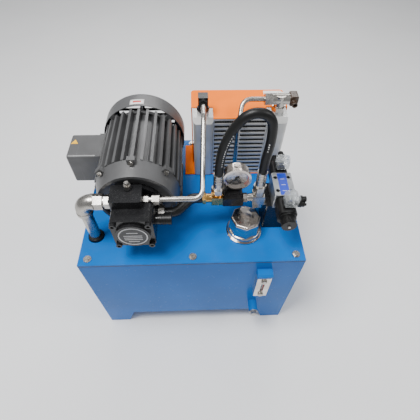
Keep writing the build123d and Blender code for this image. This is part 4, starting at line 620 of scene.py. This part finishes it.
def build_hose():
    curve = bpy.data.curves.new("arch_hose_line", "CURVE")
    curve.dimensions = "3D"
    curve.bevel_depth = 1.0
    curve.bevel_resolution = 10
    curve.resolution_u = 24
    curve.use_fill_caps = True
    spline = curve.splines.new("NURBS")
    spline.points.add(len(HOSE_POINTS) - 1)
    for point, place in zip(spline.points, HOSE_POINTS):
        point.co = (*[part * MM for part in place], 1.0)
        point.radius = details().hose_diameter / 2
    spline.order_u = 3
    spline.use_endpoint_u = True
    hose = bpy.data.objects.new("rubber_arch_hose", curve)
    bpy.context.scene.collection.objects.link(hose)
    curve.materials.append(rubber())
    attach(hose, "tank")
    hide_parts("arch_hose")
    marks = hose_marks(centreline(hose))


def hose_marks(points):
    """Short pale dashes printed along the hose, on its front."""
    form = bmesh.new()
    radius = details().hose_diameter / 2 + 0.0001
    travelled = 0.0
    strip = None
    for before, after in zip(points, points[1:]):
        travelled += (after - before).length
        along = (after - before).normalized()
        front = Vector((0, -1, 0))
        across = along.cross(front).normalized()
        centre = (front * 0.92 + across * 0.38).normalized()
        side = along.cross(centre).normalized()
        drawn = (0.05 < travelled < 0.15 or 0.3 < travelled < 0.325) and travelled % 0.006 < 0.0038
        if not drawn:
            strip = None
            continue
        row = [form.verts.new(after + (centre * math.cos(a) + side * math.sin(a)) * radius)
               for a in (-0.12, 0.0, 0.12)]
        if strip:
            for k in range(2):
                form.faces.new([strip[k], strip[k + 1], row[k + 1], row[k]])
        strip = row
    return add_piece("hose_layline", mesh_of(form, "hose_layline"), "tank", "black_rubber",
                     white_print())


# ---------------------------------------------------------------- pressure gauge
GAUGE_CENTRE = Vector((106.5, -78.0, 521.0)) * MM
GAUGE_SWEEP = math.radians(270)
SCALE_START = math.radians(225)
SCALE_STEPS = 50
STEPS_PER_NUMBER = 10
BLUE_ARC = (math.radians(135), SCALE_START)
RED_ARC = (math.radians(-45), math.radians(60))
ARC_THICKNESS = 0.12 * MM
DIAL_DEPTH_LIMIT = 3 * MM
GLASS_RADIUS = 28.6 * MM
GLASS_THICKNESS = 1.0 * MM
GLASS_FRONT_Y = -83.4 * MM
DIGIT_STROKES = {
    "0": (((-1, -1.6), (1, -1.6), (1, 1.6), (-1, 1.6), (-1, -1.6)),),
    "1": (((0, -1.6), (0, 1.6)),),
    "2": (((-1, 1.6), (1, 1.6), (1, 0), (-1, 0), (-1, -1.6), (1, -1.6)),),
    "3": (((-1, 1.6), (1, 1.6), (1, -1.6), (-1, -1.6)), ((-0.6, 0), (1, 0))),
    "4": (((-1, 1.6), (-1, 0), (1, 0)), ((1, 1.6), (1, -1.6))),
    "5": (((1, 1.6), (-1, 1.6), (-1, 0), (1, 0), (1, -1.6), (-1, -1.6)),),
}


def stroke(form, start, end, width, place, material):
    """A thin raised bar between two points of a face."""
    along = (end - start)
    side = Vector((-along.y, along.x)).normalized() * width / 2
    lap = along.normalized() * width / 2
    outline(form, [start - lap - side, end + lap - side, end + lap + side, start - lap + side],
            0.15 * MM, place, material)


def build_gauge():
    recast("gauge_case", "gauge_bezel_and_dial", "tank", "chrome",
           lambda low, high: 1 if (high - low).y < DIAL_DEPTH_LIMIT else 0, chrome(), white_print())
    radius = details().dial_radius
    place = facing(GAUGE_CENTRE - Vector((0, 0.05 * MM, 0)), (0, -1, 0), (0, 0, 1))
    form = bmesh.new()
    for step in range(SCALE_STEPS + 1):
        angle = SCALE_START - GAUGE_SWEEP * step / SCALE_STEPS
        ray = Vector((math.cos(angle), math.sin(angle)))
        major = step % STEPS_PER_NUMBER == 0
        inner = radius * (0.74 if major else 0.83)
        stroke(form, ray * inner, ray * radius * 0.91, (0.8 if major else 0.25) * MM, place, 0)
        if major:
            write_number(form, str(step), ray * radius * 0.6, radius * 0.03, place)
    for number, arc in ((1, BLUE_ARC), (2, RED_ARC)):
        outline(form, arc_band(radius * 0.92, radius * 0.98, *arc, 24), ARC_THICKNESS, place,
                number)
    add_piece("gauge_scale", mesh_of(form, "gauge_scale"), "tank", "chrome", black_print(),
              blue_print(), red_print())
    form = bmesh.new()
    lathe(form, [(0.0, 0.0), (0.0, GLASS_RADIUS), (GLASS_THICKNESS, GLASS_RADIUS),
                 (GLASS_THICKNESS, 0.0)],
          (GAUGE_CENTRE.x, GLASS_FRONT_Y, GAUGE_CENTRE.z), (0, 1, 0))
    add_piece("gauge_glass", mesh_of(form, "gauge_glass"), "tank", "clear_plastic", dial_glass())


def write_number(form, digits, centre, half_width, place):
    pitch = half_width * 3.2
    for index, digit in enumerate(digits):
        middle = centre + Vector(((index - (len(digits) - 1) / 2) * pitch, 0))
        for line in DIGIT_STROKES[digit]:
            for a, b in zip(line, line[1:]):
                stroke(form, middle + Vector(a) * half_width, middle + Vector(b) * half_width,
                       half_width * 0.42, place, 0)


# ---------------------------------------------------------------- solenoid valve
VALVE_CENTRE_Y = -92 * MM
VALVE_SCREW_LIMIT = 16 * MM
PLUG_HEIGHT_LIMIT = 20 * MM
THERMOSTAT_GLAND_LIMIT = 12 * MM
VALVE_LABEL_SIZE = (21 * MM, 66 * MM)
VALVE_LABEL_CORNER = 1.5 * MM
VALVE_LABEL_THICKNESS = 0.5 * MM
VALVE_BAR_THICKNESS = 0.6 * MM
VALVE_BAR_PLACES = (-18, 0, 18)
GLAND_PROFILE = (
    (-12, 0), (-12, 5.5), (-4, 5.5), (-4, 8.5), (4, 8.5), (4, 7), (10, 6.4), (11, 5), (11, 3.2),
    (14, 3.2), (14, 0))
GLAND_AXIS = (1, -0.25, 0)


def build_valve():
    recast("valve_body", "valve_body_and_screws", "tank", "valve_casting",
           lambda low, high: 1 if (high - low).x < VALVE_SCREW_LIMIT else 0, valve_casting(),
           black_plastic(), bevel=details().edge_round)
    low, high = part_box("valve_body")
    place = facing(((low[0] + high[0]) / 2, VALVE_CENTRE_Y, high[2] - 0.1 * MM), (0, 0, 1),
                   (0, 1, 0))
    form = bmesh.new()
    outline(form, round_rectangle(*VALVE_LABEL_SIZE, VALVE_LABEL_CORNER), VALVE_LABEL_THICKNESS,
            place, 0)
    for along in VALVE_BAR_PLACES:
        outline(form, [Vector((x * MM, (along + y) * MM)) for x, y in
                       ((-5, -4), (5, -4), (5, -3), (-5, -3))], VALVE_BAR_THICKNESS, place, 1)
    add_piece("valve_label", mesh_of(form, "valve_label"), "tank", "valve_casting", blue_print(),
              white_print())
    recast("coil_plugs", "coil_plugs_and_glands", "tank", "clear_plastic",
           lambda low, high: 0 if (high - low).z > PLUG_HEIGHT_LIMIT else 1, clear_plastic(),
           black_plastic(), bevel=details().edge_round)
    recast("thermostat", "thermostat_and_gland", "tank", "brown_plastic",
           lambda low, high: 1 if (high - low).z < THERMOSTAT_GLAND_LIMIT else 0, brown_plastic(),
           red_plastic(), bevel=details().edge_round)


def build_cable_glands():
    """A second cable gland beside the front coil's plug, with its ridged nut and cable stub."""
    low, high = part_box("coil_plugs")
    centre = Vector((high[0] - 14 * MM, low[1] + 6 * MM, low[2] + 6 * MM))
    form = bmesh.new()
    lathe(form, [(along * MM, radius * MM) for along, radius in GLAND_PROFILE], centre, GLAND_AXIS,
          steps=6)
    add_piece("front_cable_gland", mesh_of(form, "front_cable_gland"), "tank", "black_plastic",
              black_plastic(), bevel=0.6 * MM)


# ---------------------------------------------------------------- cooler
FIN_ROWS = 13
COOLER_BAR = 5.5 * MM
FOIL_END_GAP = 1 * MM
FOIL_FRONT = 4 * MM
FOIL_BACK = 9 * MM
FOIL_THICKNESS = 0.35 * MM


def build_cooler_fins():
    """Folded foil between the cooler's flat bars, one zigzag for each row."""
    low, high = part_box("cooler_core")
    pitch = details().fin_pitch
    row_pitch = (high[2] - low[2] - COOLER_BAR) / FIN_ROWS
    form = bmesh.new()
    for row in range(FIN_ROWS):
        bottom = low[2] + row * row_pitch + COOLER_BAR
        top = low[2] + (row + 1) * row_pitch
        x = low[0] + FOIL_END_GAP
        raised = False
        points = []
        while x < high[0] - FOIL_END_GAP:
            points.append((x, top if raised else bottom))
            raised = not raised
            x += pitch / 2
        front = [form.verts.new((px, low[1] + FOIL_FRONT, pz)) for px, pz in points]
        back = [form.verts.new((px, low[1] + FOIL_BACK, pz)) for px, pz in points]
        for k in range(len(points) - 1):
            form.faces.new([front[k], front[k + 1], back[k + 1], back[k]])
    # The foil takes the near-black finish that paints the shade in the gaps between the bars.
    piece = add_piece("cooler_fins", mesh_of(form, "cooler_fins"), "tank", "aluminium",
                      fin_aluminium(), smooth_angle=0.2)
    sheet = piece.modifiers.new("foil", "SOLIDIFY")
    sheet.thickness = FOIL_THICKNESS


# ---------------------------------------------------------------- plain labels
NAMEPLATE_RADIUS = 33 * MM
NAMEPLATE_RING = (29.5 * MM, 32 * MM)
NAMEPLATE_BARS = ((14, 12), (3, 20), (-4, 20), (-11, 20), (-19, 12))
NAMEPLATE_THICKNESS = 0.3 * MM
NAMEPLATE_RELIEF = 0.5 * MM
ALMOST_ONE = 0.9999
COOLER_LABEL_SIZE = (48 * MM, 32 * MM)
COOLER_LABEL_BAR = (12 * MM, 0.8 * MM)
PATCH_HALF = (9 * MM, 8 * MM)
PATCH_STEPS = 8


def plate(name, place, width, height, corner, thickness, slot, materials, bars=()):
    """A blank plate on a face; bars are (x, y, half width, half height, material number)."""
    form = bmesh.new()
    outline(form, round_rectangle(width, height, corner), thickness, place, 0)
    for x, y, half_x, half_y, number in bars:
        outline(form, [Vector((x - half_x, y - half_y)), Vector((x + half_x, y - half_y)),
                       Vector((x + half_x, y + half_y)), Vector((x - half_x, y + half_y))],
                thickness + 0.12 * MM, place, number)
    add_piece(name, mesh_of(form, name), "tank", slot, *materials)


def build_nameplate():
    """Round plate on the pump's cover: a pale ring with plain bars."""
    low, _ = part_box("pump_cover")
    place = facing((MOTOR_AXIS_X, low[1] + 0.15 * MM, MOTOR_AXIS_Z), (0, -1, 0), (0, 0, 1))
    form = bmesh.new()
    width = 2 * NAMEPLATE_RADIUS
    disc = round_rectangle(width, width, NAMEPLATE_RADIUS, 16)
    outline(form, disc, NAMEPLATE_THICKNESS, place, 0)
    for start in (0.0, math.pi):
        band = arc_band(*NAMEPLATE_RING, start, start + math.pi * ALMOST_ONE, 40)
        outline(form, band, NAMEPLATE_RELIEF, place, 1)
    for height, half in NAMEPLATE_BARS:
        corners = ((-half, height - 1), (half, height - 1), (half, height + 1), (-half, height + 1))
        outline(form, [Vector((x * MM, z * MM)) for x, z in corners], NAMEPLATE_RELIEF, place, 1)
    add_piece("pump_nameplate", mesh_of(form, "pump_nameplate"), "tank", "black_cast_iron",
              black_print(), grey_print())


def build_labels():
    """Blank labels on the cooler's shroud and the motor's cowl, and the terminal box's patch."""
    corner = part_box("fan_shroud")[1]
    place = facing((corner[0] - 30 * MM, corner[1] - 21 * MM, corner[2] - 0.1 * MM), (0, 0, 1),
                   (0, 1, 0))
    plate("cooler_label", place, *COOLER_LABEL_SIZE, 1.5 * MM, 0.3 * MM, "orange_paint",
          (white_print(), grey_print()),
          ((0, 5 * MM, *COOLER_LABEL_BAR, 1), (0, 0, *COOLER_LABEL_BAR, 1)))
    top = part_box("fan_cowl")[1][2]
    cowl_patch("cowl_label", top, (84, 103), (118 * MM, 137 * MM), 0.3 * MM, white_print())
    cowl_patch("cowl_label_bar", top, (88, 99), (124 * MM, 131 * MM), 0.45 * MM, red_print())
    box_low, box_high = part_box("terminal_box_lid")
    place = facing(((box_low[0] + box_high[0]) / 2, (box_low[1] + box_high[1]) / 2 + 12 * MM,
                    box_high[2] - 0.1 * MM), (0, 0, 1), (0, 1, 0))
    form = bmesh.new()
    half_x, half_y = PATCH_HALF
    outline(form, [Vector((-half_x, -half_y)), Vector((half_x, -half_y)), Vector((0, half_y))],
            0.3 * MM, place)
    add_piece("terminal_box_patch", mesh_of(form, "terminal_box_patch"), "tank", "grey_motor_paint",
              yellow_print())


def cowl_patch(name, top, degrees, span, lift, material):
    """A thin film bent round the top of the motor's cowl."""
    radius = top - MOTOR_AXIS_Z + lift / 2
    angles = [math.radians(degrees[0] + (degrees[1] - degrees[0]) * k / PATCH_STEPS)
              for k in range(PATCH_STEPS + 1)]
    form = bmesh.new()
    rows = [[form.verts.new((MOTOR_AXIS_X + radius * math.cos(angle), y,
                             MOTOR_AXIS_Z + radius * math.sin(angle)))
             for angle in angles] for y in span]
    for k in range(PATCH_STEPS):
        form.faces.new([rows[0][k], rows[0][k + 1], rows[1][k + 1], rows[1][k]])
    piece = add_piece(name, mesh_of(form, name), "tank", "grey_motor_paint", material)
    film = piece.modifiers.new("film", "SOLIDIFY")
    film.thickness = lift
    film.offset = 0.0


# ---------------------------------------------------------------- level gauge
LEVEL_CAP_LIMIT = 30 * MM


def build_level_gauge():
    """The cover with its blue cap, and the scale and oil line on the sight glass."""
    recast("level_gauge_cover", "level_gauge_body_and_cap", "tank", "aluminium",
           lambda low, high: 1 if (high - low).z < LEVEL_CAP_LIMIT else 0, chrome(), blue_enamel(),
           bevel=details().edge_round)
    low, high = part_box("level_gauge_window")
    place = facing(((low[0] + high[0]) / 2, low[1] - 0.05 * MM, (low[2] + high[2]) / 2), (0, -1, 0),
                   (0, 0, 1))
    half_z = (high[2] - low[2]) / 2
    form = bmesh.new()
    for step in range(-3, 4):
        stroke(form, Vector((-4 * MM, step * half_z * 0.25)),
               Vector((-1.5 * MM, step * half_z * 0.25)), 0.5 * MM, place, 0)
    outline(form, round_rectangle(1.2 * MM, half_z * 1.5, 0.5 * MM), 0.2 * MM,
            place @ Matrix.Translation((2.5 * MM, 0, 0)), 1)
    add_piece("level_gauge_scale", mesh_of(form, "level_gauge_scale"), "tank", "clear_plastic",
              black_print(), red_print())


# ---------------------------------------------------------------- stage
CAMERA_PLACE = (0.0160, -0.5955, 1.0873)
CAMERA_AXES = ((0.99920, -0.03663, 0.01598), (0.01960, 0.79763, 0.60282),
               (-0.03483, -0.60203, 0.79771))
CAMERA_LENS = 28.24
CAMERA_SENSOR = 36.0
FLOOR_HALF = 6.0
FLOOR_DROP = 0.0005
SKY_COLOUR = (0.95, 0.97, 1.0, 1.0)
SKY_STRENGTH = 0.4
LIGHT_TARGET = (0, 0, 0.42)
LIGHTS = (
    ("key_softbox", (-0.7, -0.35, 2.5), (0.9, 0.9), 74),
    ("fill_softbox", (1.7, -0.5, 2.0), (0.8, 0.8), 18),
    ("rear_strip", (0.2, 1.9, 2.0), (2.0, 0.5), 26),
)


def build_floor():
    form = bmesh.new()
    corners = [form.verts.new((x * FLOOR_HALF, y * FLOOR_HALF, 0))
               for x, y in ((-1, -1), (1, -1), (1, 1), (-1, 1))]
    form.faces.new(corners)
    floor = bpy.data.objects.new("studio_floor", mesh_of(form, "studio_floor"))
    bpy.context.scene.collection.objects.link(floor)
    tone = tuple(details().floor_tone)
    floor.data.materials.append(finish("studio_paper", tone, tuple(part * 0.98 for part in tone),
                                       smooth=0.7, rough=0.85, scale=3.0, grain=80.0, bump=0.02,
                                       specular=0.2))
    floor.location.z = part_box("tank_shell")[0][2] - FLOOR_DROP


def area_light(name, place, size, power):
    lamp = bpy.data.lights.new(name, "AREA")
    lamp.shape = "RECTANGLE"
    lamp.size, lamp.size_y = size
    lamp.energy = power
    obj = bpy.data.objects.new(name, lamp)
    bpy.context.scene.collection.objects.link(obj)
    obj.location = place
    obj.rotation_euler = (Vector(LIGHT_TARGET) - Vector(place)).to_track_quat("-Z", "Y").to_euler()


def build_lights():
    world = bpy.data.worlds.new("studio_air")
    world.use_nodes = True
    sky = world.node_tree.nodes["Background"]
    sky.inputs["Color"].default_value = SKY_COLOUR
    sky.inputs["Strength"].default_value = SKY_STRENGTH
    bpy.context.scene.world = world
    for light in LIGHTS:
        area_light(*light)


def build_camera():
    lens = bpy.data.cameras.new("view")
    lens.lens = CAMERA_LENS
    lens.sensor_width = CAMERA_SENSOR
    lens.clip_start = 0.01
    camera = bpy.data.objects.new("view", lens)
    bpy.context.scene.collection.objects.link(camera)
    turned = Matrix(CAMERA_AXES).transposed().to_4x4()
    camera.matrix_world = Matrix.Translation(CAMERA_PLACE) @ turned
    bpy.context.scene.camera = camera


# ---------------------------------------------------------------- operators
def paint_nodes():
    """Gives every CAD node the finish of its material slot."""
    slots = {part["node"]: part["material_slot"] for part in frame["record"]["subparts"]}
    for name, obj in frame["nodes"].items():
        material = SLOT_FINISHES[slots[name]]()
        if not obj.data.materials:
            obj.data.materials.append(material)
        for slot in obj.material_slots:
            slot.material = material


class UNIT_OT_finishes(Operator):
    """Paints every carried-over part with its finish"""
    bl_idname = "unit.finishes"
    bl_label = "Finishes"

    def execute(self, context):
        paint_nodes()
        return {"FINISHED"}


class UNIT_OT_hose(Operator):
    """Makes the arched rubber hose and its printed dashes"""
    bl_idname = "unit.hose"
    bl_label = "Arch hose"

    def execute(self, context):
        build_hose()
        return {"FINISHED"}


class UNIT_OT_gauge(Operator):
    """Makes the pressure gauge's dial, scale and glass"""
    bl_idname = "unit.gauge"
    bl_label = "Pressure gauge"

    def execute(self, context):
        build_gauge()
        return {"FINISHED"}


class UNIT_OT_valve(Operator):
    """Makes the valve's label, screws, plugs and glands"""
    bl_idname = "unit.valve"
    bl_label = "Valve"

    def execute(self, context):
        build_valve()
        build_cable_glands()
        return {"FINISHED"}


class UNIT_OT_cooler(Operator):
    """Makes the folded foil between the cooler's bars"""
    bl_idname = "unit.cooler"
    bl_label = "Cooler fins"

    def execute(self, context):
        build_cooler_fins()
        return {"FINISHED"}


class UNIT_OT_level_gauge(Operator):
    """Makes the level gauge's cover, cap and scale"""
    bl_idname = "unit.level_gauge"
    bl_label = "Level gauge"

    def execute(self, context):
        build_level_gauge()
        return {"FINISHED"}


class UNIT_OT_labels(Operator):
    """Makes the pump's nameplate and the blank labels"""
    bl_idname = "unit.labels"
    bl_label = "Labels"

    def execute(self, context):
        build_nameplate()
        build_labels()
        return {"FINISHED"}


class UNIT_OT_stage(Operator):
    """Sets the floor, the lights and the camera"""
    bl_idname = "unit.stage"
    bl_label = "Stage"

    def execute(self, context):
        build_floor()
        build_lights()
        build_camera()
        return {"FINISHED"}


class UNIT_PT_panel(Panel):
    """Lists the power unit's settings and steps"""
    bl_idname = "UNIT_PT_panel"
    bl_label = "Power Unit"
    bl_space_type = "VIEW_3D"
    bl_region_type = "UI"
    bl_category = "Power Unit"

    def draw(self, context):
        for settings in (context.scene.unit_paint, context.scene.unit_detail):
            for label in settings.__annotations__:
                self.layout.prop(settings, label)
        for step in STEPS:
            self.layout.operator(step.bl_idname)


STEPS = (UNIT_OT_finishes, UNIT_OT_hose, UNIT_OT_gauge, UNIT_OT_valve, UNIT_OT_cooler,
         UNIT_OT_level_gauge, UNIT_OT_labels, UNIT_OT_stage)
CLASSES = (PaintSettings, DetailSettings, *STEPS, UNIT_PT_panel)


def register():
    for item in CLASSES:
        bpy.utils.register_class(item)
    bpy.types.Scene.unit_paint = PointerProperty(type=PaintSettings)
    bpy.types.Scene.unit_detail = PointerProperty(type=DetailSettings)


def unregister():
    del bpy.types.Scene.unit_detail
    del bpy.types.Scene.unit_paint
    for item in reversed(CLASSES):
        bpy.utils.unregister_class(item)


def main():
    register()
    bpy.ops.unit.finishes()
    bpy.ops.unit.hose()
    bpy.ops.unit.gauge()
    bpy.ops.unit.valve()
    bpy.ops.unit.cooler()
    bpy.ops.unit.level_gauge()
    bpy.ops.unit.labels()
    bpy.ops.unit.stage()


if __name__ == "__main__":
    main()
